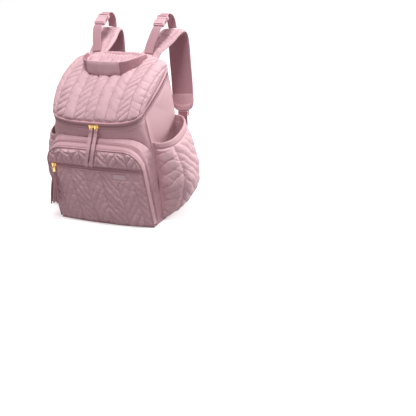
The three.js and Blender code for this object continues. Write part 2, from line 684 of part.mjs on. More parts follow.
/** The front pocket: what stays on the body, and the panel that folds down with its zip. */
function buildFrontPocket() {
  const steps = 40;
  const { front, zip, rear } = GUSSET_SPLIT;
  const around = (u) => 2 * u - 1;
  const fixed = (inset) => (u, v) => {
    const near = pocketStrip(around(u), rear + GAP, inset);
    return near.lerp(pocketStrip(around(u), null, inset), v);
  };
  const strip = (from, to, inset) => (u, v) => pocketStrip(around(u), lerp(from, to, v), inset);
  const raised = 0.985;
  const loose = (inset) => (u, v) => pocketStrip(raised * around(u), lerp(front, zip, v), inset);
  piece('pocket_gusset', 'shell', slab(fixed(0), steps, 2, fixed(POCKET.wall)));
  piece('pocket_zip_tape', 'dark',
    slab(strip(zip + GAP, rear, 0), steps, 1, strip(zip + GAP, rear, TAPE_THICK)));
  piece('pocket_front_strip', 'shell', slab(loose(0), steps, 1, loose(POCKET.wall)));

  const { zipZ, zipTape, top, thick } = POCKET;
  const inset = PIPING_R + 2 * GAP;
  const topZ = top - inset;
  const rows = (z0, z1) => (u, v) => panelPoint(around(u), lerp(z0, z1, v), 0, inset);
  const foot = BODY_FOOT + 2 * PIPING_R;
  piece('pocket_panel_lower', 'quilt', slab(rows(BODY_FOOT, zipZ - zipTape / 2), 14, 8, thick));
  piece('panel_zip_tape', 'dark', slab((u, v) => {
    const z = lerp(zipZ - zipTape / 2 + GAP, zipZ + zipTape / 2 - GAP, v);
    return new THREE.Vector3(panelPoint(around(u), zipZ, 0, inset).x, levelTapeY(), z);
  }, 14, 1, TAPE_THICK));
  piece('pocket_panel_upper', 'quilt', slab((u, v) => {
    const z = lerp(zipZ + zipTape / 2, topZ, Math.sin((v * Math.PI) / 2));
    return panelPoint(around(u), z, 0, inset);
  }, 14, 6, thick));
  piece('pocket_panel_lining', 'lining', slab((u, v) => {
    const z = lerp(foot, top - 4 * PIPING_R, v ** 0.8);
    return panelPoint(around(u), z, -thick - 3 * GAP, 4 * PIPING_R);
  }, 14, 8, 1));

  const line = [];
  for (let k = 0; k <= steps; k += 1) {
    const [x, z] = pocketOutline(around(k / steps), POCKET.halfWidth, top, POCKET.corner);
    line.push(new THREE.Vector3(x, panelPlane(z) + PIPING_R / 2, z));
  }
  line[0].z += PIPING_R;
  line[steps].z += PIPING_R;
  piece('panel_piping', 'shell', tube(line, PIPING_R, 8, 52));
  piece('label_tab', 'leather', slab((u, v) => {
    const x = lerp(LABEL.x - LABEL.half, LABEL.x + LABEL.half, u) / POCKET.halfWidth;
    return panelPoint(x, lerp(LABEL.low, LABEL.high, v), LABEL.thick + GAP);
  }, 4, 1, LABEL.thick));
}

/** Adds a piece of the straps on each side, leaning to the viewer's right from its base on. */
function strapPair(name, finish, geometry) {
  for (const [side, copy] of [['right', bare(geometry)], ['left', mirrored(geometry)]]) {
    const place = copy.attributes.position;
    for (let k = 0; k < place.count; k += 1) {
      const past = clamp((place.getY(k) - STRAP.path[0][1]) / (BUCKLE.y - STRAP.path[0][1]), 0, 1);
      place.setX(k, place.getX(k) + LEAN * past);
    }
    piece(`${name}_${side}`, finish, copy);
  }
}

/** Places a geometry that lies in the buckle's own frame: X across, Y along the strap, Z off the bar. */
function onBuckle(geometry) {
  const turn = THREE.MathUtils.degToRad(BUCKLE.slope);
  return geometry.rotateX(turn).translate(BUCKLE.x, BUCKLE.y, BUCKLE.z);
}

/** The stroller clips: two webbings and the two halves of a side-release buckle. */
function buildClips() {
  const b = BUCKLE;
  const half = b.width / 2;
  const past = 1;
  const flat = b.thick / 2;
  const railEnd = -b.socket + b.bar;
  const socketPlate = roundedPlate(-half, half, -b.socket, 0, b.corner, b.thick,
    [[-b.slotWidth / 2, b.slotWidth / 2, railEnd, railEnd + b.slot]]).translate(0, 0, -flat);
  const cavity = block(-b.cavityWidth / 2, b.cavityWidth / 2, -b.cavityDeep, past,
    -b.cavityThick / 2, b.cavityThick / 2);
  let socket = asSolid(socketPlate).subtract(asSolid(cavity));
  for (const side of [-1, 1]) {
    const reach = [side * (half - b.windowDeep), side * (half + past)].sort((m, n) => m - n);
    const window = block(...reach, -b.window - b.armWidth, -b.armWidth, -flat + past, flat - past);
    socket = socket.subtract(asSolid(window));
  }
  strapPair('buckle_socket', 'plastic', onBuckle(asGeometry(socket)));

  const plugEnd = GAP + b.plug;
  const plugPlate = roundedPlate(-half, half, GAP, plugEnd, b.corner, b.thick,
    [[-b.slotWidth / 2, b.slotWidth / 2, plugEnd - b.bar - b.slot, plugEnd - b.bar]]).translate(0, 0, -flat);
  const armOut = b.cavityWidth / 2 - 2 * GAP;
  const prongs = [
    [-b.guideWidth / 2, b.guideWidth / 2], [armOut - b.armWidth, armOut], [-armOut, b.armWidth - armOut],
  ];
  let plug = asSolid(plugPlate);
  for (const [x0, x1] of prongs) {
    plug = plug.add(asSolid(block(x0, x1, -b.prong, 2 * GAP, -b.prongThick / 2, b.prongThick / 2)));
  }
  strapPair('buckle_plug', 'plastic', onBuckle(asGeometry(plug)));

  const slope = THREE.MathUtils.degToRad(b.slope);
  const behindMouth = (length) => [b.x, b.y - length * Math.cos(slope), b.z - length * Math.sin(slope)];
  const { foot, bends, straight } = CLIP_WEB;
  const end = behindMouth(b.socket + 3 * GAP);
  const between = bends.map((shares) => shares.map((share, k) => lerp(foot[k], end[k], share)));
  const clipPath = [foot, ...between, behindMouth(b.socket + straight), end];
  const loopPath = LOOP_WEB.map(([x, y, z]) => [b.x + x, b.y + y, b.z + z]);
  const sizes = () => [WEBBING.width, WEBBING.thick];
  strapPair('clip_webbing', 'shell', ribbon(clipPath, 10, sizes));
  strapPair('loop_webbing', 'shell', ribbon(loopPath, 18, sizes));
}

/** The shoulder straps, their adjusters, the webbings below them and the tabs that hold these to the bag. */
function buildStraps() {
  const strapSizes = (t) => {
    const widen = Math.min(1, 5 * t);
    const end = clamp((t - 0.9) / 0.1, 0, 1);
    const width = lerp(STRAP.baseWidth, STRAP.width, widen) * Math.sqrt(1 - 0.6 * end ** 3);
    return [width, lerp(STRAP.thick, STRAP.endThick, Math.max(1 - 8 * t, end))];
  };
  strapPair('shoulder_strap', 'quilt', ribbon(STRAP.path, 26, strapSizes, undefined, 0.3));
  strapPair('strap_webbing', 'webbing', ribbon(LOWER_WEB, 10, () => [WEBBING.width, WEBBING.thick]));

  const a = ADJUSTER;
  const end = new THREE.Vector3(...STRAP.path.at(-1));
  const before = new THREE.Vector3(...STRAP.path.at(-2));
  const down = end.clone().sub(before).normalize();
  const slots = [a.rail, a.tall - a.rail - a.slot].map((low) => [
    -WEBBING.width / 2 - GAP, WEBBING.width / 2 + GAP, low, low + a.slot]);
  const ladder = roundedPlate(-a.width / 2, a.width / 2, 0, a.tall, a.rail, a.thick, slots);
  ladder.translate(0, -a.tall - GAP, -a.thick / 2);
  const up = down.clone().negate();
  const across = new THREE.Vector3(1, 0, 0).addScaledVector(up, -up.x).normalize();
  const turned = new THREE.Matrix4().makeBasis(across, up, across.clone().cross(up)).setPosition(end);
  ladder.applyMatrix4(turned);
  strapPair('strap_adjuster', 'plastic', ladder);

  const tab = roundedPlate(-ANCHOR.width / 2, ANCHOR.width / 2, 0, ANCHOR.tall, ANCHOR.thick, ANCHOR.thick);
  tab.rotateX(Math.PI / 2).translate(LOWER_WEB.at(-1)[0], BACK_Y + GAP + ANCHOR.thick, ANCHOR.foot);
  pair('webbing_anchor', 'shell', tab);
}

/** The roll of gathered fabric between the strap bases. */
function buildYoke() {
  const radius = 7.5;
  const ribs = 9;
  const half = STRAP.path[0][0] - STRAP.baseWidth / 2 - 5 * GAP;
  const rings = [];
  const steps = 4 * ribs;
  for (let k = 0; k <= steps; k += 1) {
    const x = lerp(-half, half, k / steps);
    const swell = radius * (1 + 0.07 * Math.cos((2 * Math.PI * ribs * k) / steps) - 0.07);
    const ring = [];
    for (let i = 0; i < 10; i += 1) {
      const angle = (2 * Math.PI * i) / 10;
      ring.push(new THREE.Vector3(x, BACK_Y + GAP + radius + swell * Math.cos(angle),
        BACK_TOP - LID.thick - GAP + swell * Math.sin(angle)));
    }
    rings.push(ring);
  }
  piece('top_yoke', 'shell', loft(rings));
}

/** A zip slider lying flat on a tape that faces the front, with an eye open to the sides or up and down. */
function sliderSolid(openUpward) {
  const s = SLIDER;
  const body = roundedPlate(-s.long / 2, s.long / 2, -s.wide / 2, s.wide / 2, s.wide / 3, s.thick);
  const half = s.wide / 2 - GAP;
  const top = s.thick + s.eye + s.bailWall;
  const bail = block(-s.bailWidth / 2, s.bailWidth / 2, -half, half, s.thick / 2, top);
  const open = half - s.bailWall;
  const eye = block(-s.bailWidth, s.bailWidth, -open, open, s.thick, s.thick + s.eye);
  const bridge = asSolid(bail).subtract(asSolid(eye));
  const turned = openUpward ? bridge.rotate([0, 0, 90]) : bridge;
  return asGeometry(asSolid(body).add(turned)).rotateX(Math.PI / 2);
}

/** How far the middle of a slider's eye stands off the slider's back. */
const EYE_OUT = SLIDER.thick + SLIDER.eye / 2;

/** A square ring that hangs by its upper bar; the bar's middle is the origin and the ring faces the front. */
function ring() {
  const { width, tall, wire, corner } = RING;
  const plate = roundedPlate(-width / 2, width / 2, wire / 2 - tall, wire / 2, corner, wire,
    [[wire - width / 2, width / 2 - wire, 1.5 * wire - tall, -wire / 2]]);
  return plate.translate(0, 0, -wire / 2).rotateX(Math.PI / 2);
}

/** The main zip's two sliders, their rings and their long leather-look pulls. */
function buildMainZip() {
  const front = rimPoint(0);
  const y = front.y - SLIDER.clear;
  const eyeY = y - EYE_OUT;
  const start = front.z + RING.wire / 2 - RING.tall - 3 * GAP;
  const low = start - PULL.long;
  const edge = panelPoint(0, POCKET.top, PIPING_R + 2 * GAP + PULL.thick).y;
  for (const [name, side] of [['left', -1], ['right', 1]]) {
    const x = PULL.meet + side * PULL.apart;
    const hang = (share, depth) => [x - PULL.drift * share, depth, lerp(start, low, share)];
    const path = [hang(0, eyeY), hang(0.12, eyeY - 0.6), hang(0.33, lerp(eyeY, edge, 0.55)), hang(0.53, edge),
      hang(0.8, edge - 1.6), hang(1, edge - 1.2)];
    const flare = (t) => Math.max(0, t - 0.9) / 0.1;
    const sizes = (t) => [lerp(PULL.width, PULL.tipWidth, flare(t)), PULL.thick];
    piece(`main_slider_${name}`, 'gold', sliderSolid(false).translate(x, y, front.z));
    piece(`main_ring_${name}`, 'gold', ring().translate(x, eyeY, front.z));
    piece(`main_pull_${name}`, 'leather', ribbon(path, 20, sizes));
  }
}

/** A tassel that hangs from a slider's eye at a point: its cap with a ring, and strips of leather side by
 *  side. Facing is its turn about the vertical. */
function buildTassel(name, eye, facing) {
  const t = TASSEL;
  const capTop = RING.wire - RING.tall;
  const cap = new THREE.CylinderGeometry(t.capR * 0.8, t.capR, t.capTall, 12);
  cap.rotateX(Math.PI / 2).translate(0, 0, capTop - t.capTall / 2);
  const whole = asGeometry(asSolid(cap).add(asSolid(ring())));
  piece(`${name}_tassel_cap`, 'gold', whole.rotateZ(facing).translate(...eye));

  const width = t.strips * t.strip + (t.strips - 1) * t.step;
  const top = 8;
  const shorter = 5;
  const comb = new THREE.Shape();
  const left = -width / 2;
  comb.moveTo(left, 0);
  for (let k = 0; k < t.strips; k += 1) {
    const x0 = left + k * (t.strip + t.step);
    const low = -t.long + shorter * (k % 2);
    comb.lineTo(x0, low);
    comb.lineTo(x0 + t.strip, low);
    if (k + 1 < t.strips) {
      comb.lineTo(x0 + t.strip, -top);
      comb.lineTo(x0 + t.strip + t.step, -top);
    }
  }
  comb.lineTo(width / 2, 0);
  const strips = new THREE.ExtrudeGeometry(comb, { depth: t.stripThick, bevelEnabled: false });
  const narrow = t.strip / width;
  const spread = 0.62;
  const hang = strips.attributes.position;
  for (let k = 0; k < hang.count; k += 1) {
    const down = clamp(-hang.getY(k) / t.long, 0, 1);
    hang.setX(k, hang.getX(k) * lerp(narrow, spread, Math.min(1, 1.6 * down)));
  }
  strips.rotateX(Math.PI / 2).translate(0, t.stripThick / 2, 0).rotateZ(facing);
  for (let k = 0; k < hang.count; k += 1) {
    hang.setX(k, hang.getX(k) - (t.drift * hang.getZ(k)) / t.long);
  }
  piece(`${name}_tassel`, 'leather', strips.translate(eye[0], eye[1], eye[2] + capTop - t.capTall - GAP));
}

/** The slider of the pocket's U-shaped zip, on its left side, and the slider of the panel's level zip. */
function buildPocketZips() {
  const height = POCKET_SLIDER_Z;
  const middle = (GUSSET_SPLIT.zip + GUSSET_SPLIT.rear) / 2;
  const { halfWidth, corner, top } = POCKET;
  const past = halfWidth - corner + (corner * Math.PI) / 2;
  const place = (past + top - corner - height) / (past + top - corner - BODY_FOOT);
  const halfWide = SLIDER.wide / 2;
  const [near, seat, far] = [-halfWide, 0, halfWide].map((off) => pocketStrip(-place, middle + off));
  const slope = Math.atan2(near.x - far.x, far.y - near.y);
  const facing = slope - Math.PI / 2;
  const standing = (length) => [seat.x - length * Math.cos(slope), seat.y - length * Math.sin(slope), height];
  const side = sliderSolid(true).rotateY(Math.PI / 2).rotateZ(facing);
  piece('pocket_slider', 'gold', side.translate(...standing(2 * GAP)));
  buildTassel('pocket', standing(2 * GAP + EYE_OUT), facing);

  const panelX = PANEL_SLIDER_IN - POCKET.halfWidth;
  const clearY = levelTapeY() - SLIDER.clear;
  piece('panel_slider', 'gold', sliderSolid(false).translate(panelX, clearY, POCKET.zipZ));
  buildTassel('panel', [panelX, clearY - EYE_OUT, POCKET.zipZ], 0);
}

buildBody();
buildLid();
buildHandle();
buildSidePockets();
buildFrontPocket();
buildYoke();
buildStraps();
buildClips();
buildMainZip();
buildPocketZips();

// The origin is the middle of the whole bag's box, at the face that it stands on.
const bounds = new THREE.Box3().setFromObject(model);
const middle = bounds.getCenter(new THREE.Vector3());
model.position.set(-middle.x, -middle.y, -bounds.min.z);

export default model;
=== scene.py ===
# %% [markdown]
# # A quilted diaper backpack in dusty rose
# The bag is soft: woven nylon over foam, quilted on the lid, the pockets and the straps, with zips, piping,
# leather-look pulls and tassels. Its solids come packed as a frame, and this lesson dresses them. Every
# shape here is a formula over a grid or a profile carried along a path, in the bag's own millimetres, and
# only the last step of each mesh turns these into metres.

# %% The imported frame
import math

import bmesh
import bpy
import numpy as np
from mathutils import Matrix, Vector


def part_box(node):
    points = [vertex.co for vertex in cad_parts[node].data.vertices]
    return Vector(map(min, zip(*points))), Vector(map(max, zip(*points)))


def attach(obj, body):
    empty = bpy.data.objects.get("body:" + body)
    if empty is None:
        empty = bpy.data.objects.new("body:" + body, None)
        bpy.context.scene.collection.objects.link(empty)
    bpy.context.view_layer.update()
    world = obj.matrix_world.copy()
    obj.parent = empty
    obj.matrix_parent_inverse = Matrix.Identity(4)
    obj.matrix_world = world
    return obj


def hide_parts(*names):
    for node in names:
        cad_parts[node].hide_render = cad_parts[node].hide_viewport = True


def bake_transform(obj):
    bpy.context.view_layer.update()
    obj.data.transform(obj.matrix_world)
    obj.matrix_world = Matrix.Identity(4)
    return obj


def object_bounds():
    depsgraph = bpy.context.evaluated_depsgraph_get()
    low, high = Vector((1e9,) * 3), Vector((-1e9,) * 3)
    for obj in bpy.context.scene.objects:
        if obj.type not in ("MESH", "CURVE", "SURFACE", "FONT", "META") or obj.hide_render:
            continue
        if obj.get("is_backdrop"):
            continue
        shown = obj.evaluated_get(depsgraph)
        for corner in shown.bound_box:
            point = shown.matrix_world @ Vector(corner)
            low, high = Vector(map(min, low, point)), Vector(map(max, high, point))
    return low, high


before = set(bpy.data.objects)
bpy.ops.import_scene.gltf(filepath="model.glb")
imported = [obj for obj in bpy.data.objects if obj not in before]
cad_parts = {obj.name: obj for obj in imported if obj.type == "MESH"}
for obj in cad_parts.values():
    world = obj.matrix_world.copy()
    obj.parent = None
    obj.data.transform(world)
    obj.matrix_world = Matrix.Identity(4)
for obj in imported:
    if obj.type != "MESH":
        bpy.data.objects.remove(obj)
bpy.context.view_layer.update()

# %% [markdown]
# ## From the bag's millimetres to the scene
# X is the viewer's right, -Y the front and +Z up. The back panel's outside is 75 mm behind the bag's own
# origin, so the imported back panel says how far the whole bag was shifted.

# %% Units
MM = 0.001
GAP = 0.3
BACK_Y = 75.0
SHIFT_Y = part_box("back_panel")[1].y / MM - BACK_Y
print("shift in y, mm:", round(SHIFT_Y, 3))


def lerp(a, b, t):
    """From a to b, t from 0 to 1."""
    return a + (b - a) * t


def smooth(t):
    """A soft step from 0 to 1: 3t^2 - 2t^3 between its ends."""
    t = np.clip(t, 0, 1)
    return t * t * (3 - 2 * t)


def stack(x, y, z):
    """Three arrays as one array of points."""
    return np.stack(np.broadcast_arrays(x, y, z), axis=-1).astype(float)


def unit(v):
    """Vectors of length 1."""
    return v / np.maximum(np.linalg.norm(v, axis=-1, keepdims=True), 1e-9)


def run_along(line):
    """How far each point of a line lies from its start, the steps' lengths added up."""
    return np.concatenate([[0], np.cumsum(np.linalg.norm(np.diff(line, axis=0), axis=1))])


# %% [markdown]
# ## The camera
# The photograph looks from the front, a little from the right and from above, and the bag hangs tilted
# there. Here the bag stands upright, so the camera takes the tilt and the roll instead.

# %% Camera
RIGHT = np.array([0.884, 0.4558, -0.1061])
UP = np.array([-0.0997, 0.4049, 0.9091])
BACK = np.array([0.457, -0.7928, 0.4032])
CAMERA_AT = np.array([1573.2, -2294.3 + SHIFT_Y, 1191.8]) * MM
SENSOR_WIDE, FOCAL_LENGTH = 36, 97.56
camera_data = bpy.data.cameras.new("photo_camera")
camera_data.sensor_width = SENSOR_WIDE
camera_data.lens = FOCAL_LENGTH
camera = bpy.data.objects.new("photo_camera", camera_data)
bpy.context.scene.collection.objects.link(camera)
turn = np.eye(4)
turn[:3, 0], turn[:3, 1], turn[:3, 2], turn[:3, 3] = unit(RIGHT), unit(UP), unit(BACK), CAMERA_AT
camera.matrix_world = Matrix(turn.tolist())
bpy.context.scene.camera = camera
print("camera at", [round(float(c), 3) for c in CAMERA_AT])

# %% [markdown]
# ## Meshes from grids
# A piece of fabric is a grid of points for its outside, an inside a thickness behind it, and four edges
# that close it. One function makes the faces, turns them outwards by the sign of the volume, and writes a
# UV map in which 1 is 100 mm of cloth, so that the weave follows the cloth.


# %% Mesh helpers
PIECES = {}
SIDES = (("right", False), ("left", True))
UV_MM = 100


def facing_out(points, faces):
    """The faces, turned round if the volume that they enclose comes out below 0."""
    p = points - points.mean(0)
    volume = 0.0
    for f in faces:
        for k in range(1, f.shape[1] - 1):
            volume += np.einsum("ij,ij->i", p[f[:, 0]], np.cross(p[f[:, k]], p[f[:, k + 1]])).sum()
    return [f[:, ::-1] for f in faces] if volume < 0 else faces


def add_mesh(name, points, faces, body, material, slot, replaces=(), uv=None, crease=None, mirror=False,
             lean=False):
    """A mesh object from points in bag millimetres and a list of face arrays, riding on a body.

    Mirror puts it on the bag's other side, and lean lets it drift with the shoulder straps."""
    points = np.asarray(points, float).reshape(-1, 3)
    if mirror:
        points = points * [-1, 1, 1]
    if lean:
        points = leaned(points)
    quads = facing_out(points, faces)
    mesh = bpy.data.meshes.new(name)
    mesh.vertices.add(len(points))
    mesh.vertices.foreach_set("co", ((points + [0, SHIFT_Y, 0]) * MM).astype(np.float32).ravel())
    corners = np.concatenate([f.ravel() for f in quads])
    sizes = np.concatenate([np.full(len(f), f.shape[1]) for f in quads])
    mesh.loops.add(len(corners))
    mesh.loops.foreach_set("vertex_index", corners.astype(np.int32))
    mesh.polygons.add(len(sizes))
    starts = np.concatenate([[0], np.cumsum(sizes)[:-1]])
    mesh.polygons.foreach_set("loop_start", starts.astype(np.int32))
    mesh.polygons.foreach_set("loop_total", sizes.astype(np.int32))
    mesh.polygons.foreach_set("use_smooth", np.ones(len(sizes), bool))
    if uv is not None:
        layer = mesh.uv_layers.new(name="cloth")
        layer.data.foreach_set("uv", np.asarray(uv, np.float32).reshape(-1, 2)[corners].ravel())
    # The crease attribute is a mask of painted shade, which the materials turn into darker colour in creases,
    # folds and gathers.
    if crease is not None:
        attribute = mesh.attributes.new("crease", "FLOAT", "POINT")
        attribute.data.foreach_set("value", np.asarray(crease, np.float32).ravel())
    mesh.update()
    mesh.validate()
    obj = bpy.data.objects.new(name, mesh)
    bpy.context.scene.collection.objects.link(obj)
    mesh.materials.append(material)
    if body is not None:
        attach(obj, body)
    if replaces:
        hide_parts(*([replaces] if isinstance(replaces, str) else replaces))
    PIECES[name] = obj
    return obj


def grid_normals(outside):
    """Unit normals of a grid of points: across the columns, crossed with up the rows."""
    across = np.gradient(outside, axis=1)
    along = np.gradient(outside, axis=0)
    return unit(np.cross(across, along))


def grid_lengths(outside):
    """How far each grid point lies across and along the cloth, in mm, measured on the surface."""
    across = np.linalg.norm(np.diff(outside, axis=1), axis=-1)
    along = np.linalg.norm(np.diff(outside, axis=0), axis=-1)
    a = np.concatenate([np.zeros((outside.shape[0], 1)), np.cumsum(across, axis=1)], axis=1)
    b = np.concatenate([np.zeros((1, outside.shape[1])), np.cumsum(along, axis=0)], axis=0)
    return a - a[:, [a.shape[1] // 2]], b


def grid_quads(index):
    """Faces between the rows and columns of a grid of point numbers."""
    return np.stack([index[:-1, :-1], index[:-1, 1:], index[1:, 1:], index[1:, :-1]], -1).reshape(-1, 4)


def ring_quads(index):
    """Faces between each ring of point numbers and the next, for one tube or for many at once."""
    after = np.roll(index, -1, axis=-1)
    quads = [index[..., :-1, :], after[..., :-1, :], after[..., 1:, :], index[..., 1:, :]]
    return np.stack(quads, -1).reshape(-1, 4)


def beads(rings, first=0):
    """Points and faces of many small closed beads: each is a few rings, with a flat cap on both ends."""
    index = first + np.arange(rings.size // 3).reshape(rings.shape[:-1])
    caps = np.concatenate([index[:, 0, ::-1], index[:, -1]])
    return rings.reshape(-1, 3), [ring_quads(index), caps]


def slab_faces(rows, cols):
    """Faces of a closed slab: its outside grid, then its inside grid, and the four edges between."""
    index = np.arange(rows * cols).reshape(rows, cols)
    outside = grid_quads(index)
    inside = outside[:, ::-1] + rows * cols
    ring = np.concatenate([index[0, :-1], index[:-1, -1], index[-1, :0:-1], index[:0:-1, 0]])
    after = np.roll(ring, -1)
    edge = np.stack([after, ring, ring + rows * cols, after + rows * cols], -1)
    return [outside, inside, edge]


def slab(name, outside, inside, body, material, slot, replaces=(), mirror=False, crease=None, lean=False):
    """A closed piece of cloth between a grid and either a second grid or a thickness in mm."""
    if np.isscalar(inside):
        inside = outside - inside * grid_normals(outside)
    uv = np.stack(grid_lengths(outside), -1).reshape(-1, 2) / UV_MM
    points = np.concatenate([outside.reshape(-1, 3), inside.reshape(-1, 3)])
    both = None if crease is None else np.concatenate([crease.ravel(), np.zeros(crease.size)])
    return add_mesh(name, points, slab_faces(*outside.shape[:2]), body, material, slot, replaces,
                    np.concatenate([uv, uv]), both, mirror, lean)


def sweep(name, rings, body, material, slot, replaces=(), mirror=False, crease=None, lean=False):
    """A closed piece from rings of points, one after the other, with a fan over each end."""
    count, size = rings.shape[:2]
    index = np.arange(count * size).reshape(count, size)
    after = np.roll(index, -1, axis=1)
    ends = np.stack([rings[0].mean(0), rings[-1].mean(0)])
    first = np.stack([after[0], index[0], np.full(size, count * size)], -1)
    last = np.stack([index[-1], after[-1], np.full(size, count * size + 1)], -1)
    points = np.concatenate([rings.reshape(-1, 3), ends])
    along, around = run_along(rings.mean(1)), run_along(rings[count // 2])
    uv = np.stack(np.broadcast_arrays(around[None, :], along[:, None]), -1).reshape(-1, 2) / UV_MM
    uv = np.concatenate([uv, uv[:1], uv[-1:]])
    both = None if crease is None else np.concatenate([crease.ravel(), [0, 0]])
    return add_mesh(name, points, [ring_quads(index), first, last], body, material, slot, replaces, uv, both,
                    mirror, lean)


# %% [markdown]
# ## Paths
# Straps, webbings, piping and pulls are profiles carried along a smooth path. The path is a centripetal
# Catmull-Rom curve through a few given points, which never loops or overshoots between them.


# %% Path helpers
ACROSS_BAG = [1.0, 0, 0]
STEPS_PER_BEND = 60


def smooth_path(points, count):
    """Points evenly spaced along a centripetal Catmull-Rom curve through the given ones."""
    p = np.asarray(points, float)
    p = np.concatenate([[2 * p[0] - p[1]], p, [2 * p[-1] - p[-2]]])
    knots = np.concatenate([[0], np.cumsum(np.linalg.norm(np.diff(p, axis=0), axis=1) ** 0.5)])

    def between(t, low, high, start, end):
        """From start to end while t runs from one knot to another."""
        low, high = knots[low], knots[high]
        return (high - t) / (high - low) * start + (t - low) / (high - low) * end

    out = []
    for k in range(1, len(p) - 2):
        t = np.linspace(knots[k], knots[k + 1], STEPS_PER_BEND, endpoint=k == len(p) - 3)[:, None]
        first = [between(t, j, j + 1, p[j], p[j + 1]) for j in (k - 1, k, k + 1)]
        second = [between(t, k - 1, k + 1, first[0], first[1]), between(t, k, k + 2, first[1], first[2])]
        out.append(between(t, k, k + 1, *second))
    return resample(np.concatenate(out), count)


def resample(path, count):
    """The same line with evenly spaced points."""
    run = run_along(path)
    want = np.linspace(0, run[-1], count)
    return np.stack([np.interp(want, run, path[:, k]) for k in range(3)], -1)


def path_frame(path, lateral):
    """At each point of a path: its side direction and the normal off its flat side."""
    tangent = unit(np.gradient(path, axis=0))
    normal = unit(np.cross(np.broadcast_to(lateral, path.shape), tangent))
    return unit(np.cross(tangent, normal)), normal


def squared_ring(width, thick, power, count):
    """A rounded rectangle: x = w/2 sgn(cos) |cos|^(2/p), y = t/2 sgn(sin) |sin|^(2/p)."""
    angle = (np.arange(count) + 0.5) * 2 * np.pi / count
    c, s = np.cos(angle), np.sin(angle)
    width, thick = np.asarray(width, float), np.asarray(thick, float)
    x = np.sign(c) * np.abs(c) ** (2 / power)
    y = np.sign(s) * np.abs(s) ** (2 / power)
    return np.stack(np.broadcast_arrays(width[..., None] / 2 * x, thick[..., None] / 2 * y), -1)


def band_rings(path, lateral, width, thick, power=6, count=24):
    """Rings of a flat band along a path. Width and thickness may change along it."""
    side, normal = path_frame(path, lateral)
    profile = squared_ring(np.broadcast_to(width, len(path)), np.broadcast_to(thick, len(path)), power, count)
    return path[:, None] + side[:, None] * profile[..., :1] + normal[:, None] * profile[..., 1:]


def tube_rings(path, radius, sides):
    """Rings of a round tube along a path, each square to it, with no twist between them."""
    tangent = unit(np.gradient(path, axis=0))
    helper = np.where(np.abs(tangent[:, 2:]) > 0.9, np.array([[0.0, 1.0, 0.0]]), np.array([[0.0, 0.0, 1.0]]))
    first = np.cross(helper[0], tangent[0])
    normal = np.empty_like(path)
    current = first / np.linalg.norm(first)
    for k in range(len(path)):
        current = current - tangent[k] * np.dot(current, tangent[k])
        current = current / np.linalg.norm(current)
        normal[k] = current
    other = np.cross(tangent, normal)
    angle = np.arange(sides) * 2 * np.pi / sides
    spokes = normal[:, None] * np.cos(angle)[None, :, None] + other[:, None] * np.sin(angle)[None, :, None]
    return path[:, None] + np.broadcast_to(radius, len(path))[:, None, None] * spokes


# %% [markdown]
# ## Soft shapes: ripples, folds and quilting
# Fabric is never flat. Ripples are a handful of sine waves with their own lengths and directions. Folds are
# ripples whose crests are sharpened. Quilting is a pillow between stitch lines: nothing at the line, steep
# beside it and round in the middle, like the top half of an ellipse.


# %% Fabric relief
WAVES = 9


def ripples(a, b, seed, longest, shortest, aim=0.0, spread=math.pi / 2):
    """A sum of bent sine waves over the cloth, from about -1 to 1. Aim is the waves' main direction."""
    rng = np.random.default_rng(seed)
    total = np.zeros(np.broadcast(a, b).shape)
    weight = 0.0
    for _ in range(WAVES):
        length = math.exp(rng.uniform(math.log(shortest), math.log(longest)))
        angle = aim + rng.uniform(-spread, spread)
        phase, bend = rng.uniform(0, 2 * math.pi, 2)
        line = (a * math.cos(angle) + b * math.sin(angle)) * 2 * math.pi / length
        cross = (b * math.cos(angle) - a * math.sin(angle)) * 2 * math.pi / (length * rng.uniform(2, 4))
        size = length ** 0.7
        total += size * np.sin(line + phase + 1.3 * np.sin(cross + bend))
        weight += size
    return total / weight * 1.8


def folds(a, b, seed, longest, shortest, aim, spread, sharp=2.0):
    """Creases: ripples, with their crests narrowed, from 0 to 1."""
    wave = ripples(a, b, seed, longest, shortest, aim, spread)
    return np.clip(1 - np.abs(wave), 0, 1) ** sharp


def pillow(distance):
    """Height of a stuffed channel at a share of the way from its stitch line (0) to its middle (1)."""
    d = np.clip(distance, 0, 1)
    return np.sqrt(np.clip(1 - (1 - d) ** 2, 0, 1))


def herringbone(a, b, column, pitch, slope, seed, strength=(0.5, -1.0), wander=0.0):
    """Relief of a herringbone quilt from 0 at a stitch to 1, and how near each point is to a stitch.

    Each column takes its strength in turn; ribs rise to the right where it is above 0, to the left below."""
    rng = np.random.default_rng(seed)
    a = a + wander * ripples(a, b, seed + 1, 120, 60)
    b = b + 1.6 * wander * ripples(b, a, seed + 2, 90, 40)
    number = np.floor(a / column)
    x = a - number * column
    edge = np.minimum(x, column - x)
    strong = np.array(strength)[np.mod(number, len(strength)).astype(int)]
    lean = -np.sign(strong)
    jitter = rng.uniform(0, 1, 64)[np.mod(number, 64).astype(int)]
    share = (b + lean * slope * x) / pitch + jitter
    part = share - np.floor(share)
    across = 2 * np.minimum(part, 1 - part)
    strong = np.abs(strong) * (0.85 + 0.3 * rng.uniform(0, 1, 64)[np.mod(number + 7, 64).astype(int)])
    full = 0.75 + 0.5 * rng.uniform(0, 1, 512)[np.mod(np.floor(share) + 37 * number, 512).astype(int)]
    relief = pillow(edge / min(13, column / 2)) * (1 - 0.85 * strong * (1 - pillow(across * 1.1)))
    relief = relief * lerp(1.0, full, strong)
    near = np.maximum(1 - edge / 2.0, strong * (1 - across * pitch / 4.0))
    return relief, np.clip(near, 0, 1)


# %% [markdown]
# ## Puckers by cloth simulation
# Cloth that is quilted has a little more length than the shape under it, and the filling pushes it out, so
# it puckers beside every stitch. Formulas can't guess those puckers. A coarse copy of each quilted or
# padded surface is simulated instead: sewn down at its stitches and edges, with 2 to 4% slack, pressure
# from behind and no gravity. How far each point moved is spread back over the fine grid, with a cap of a few
# millimetres. The copy is ten times real size, because the solver is steadier with longer springs.


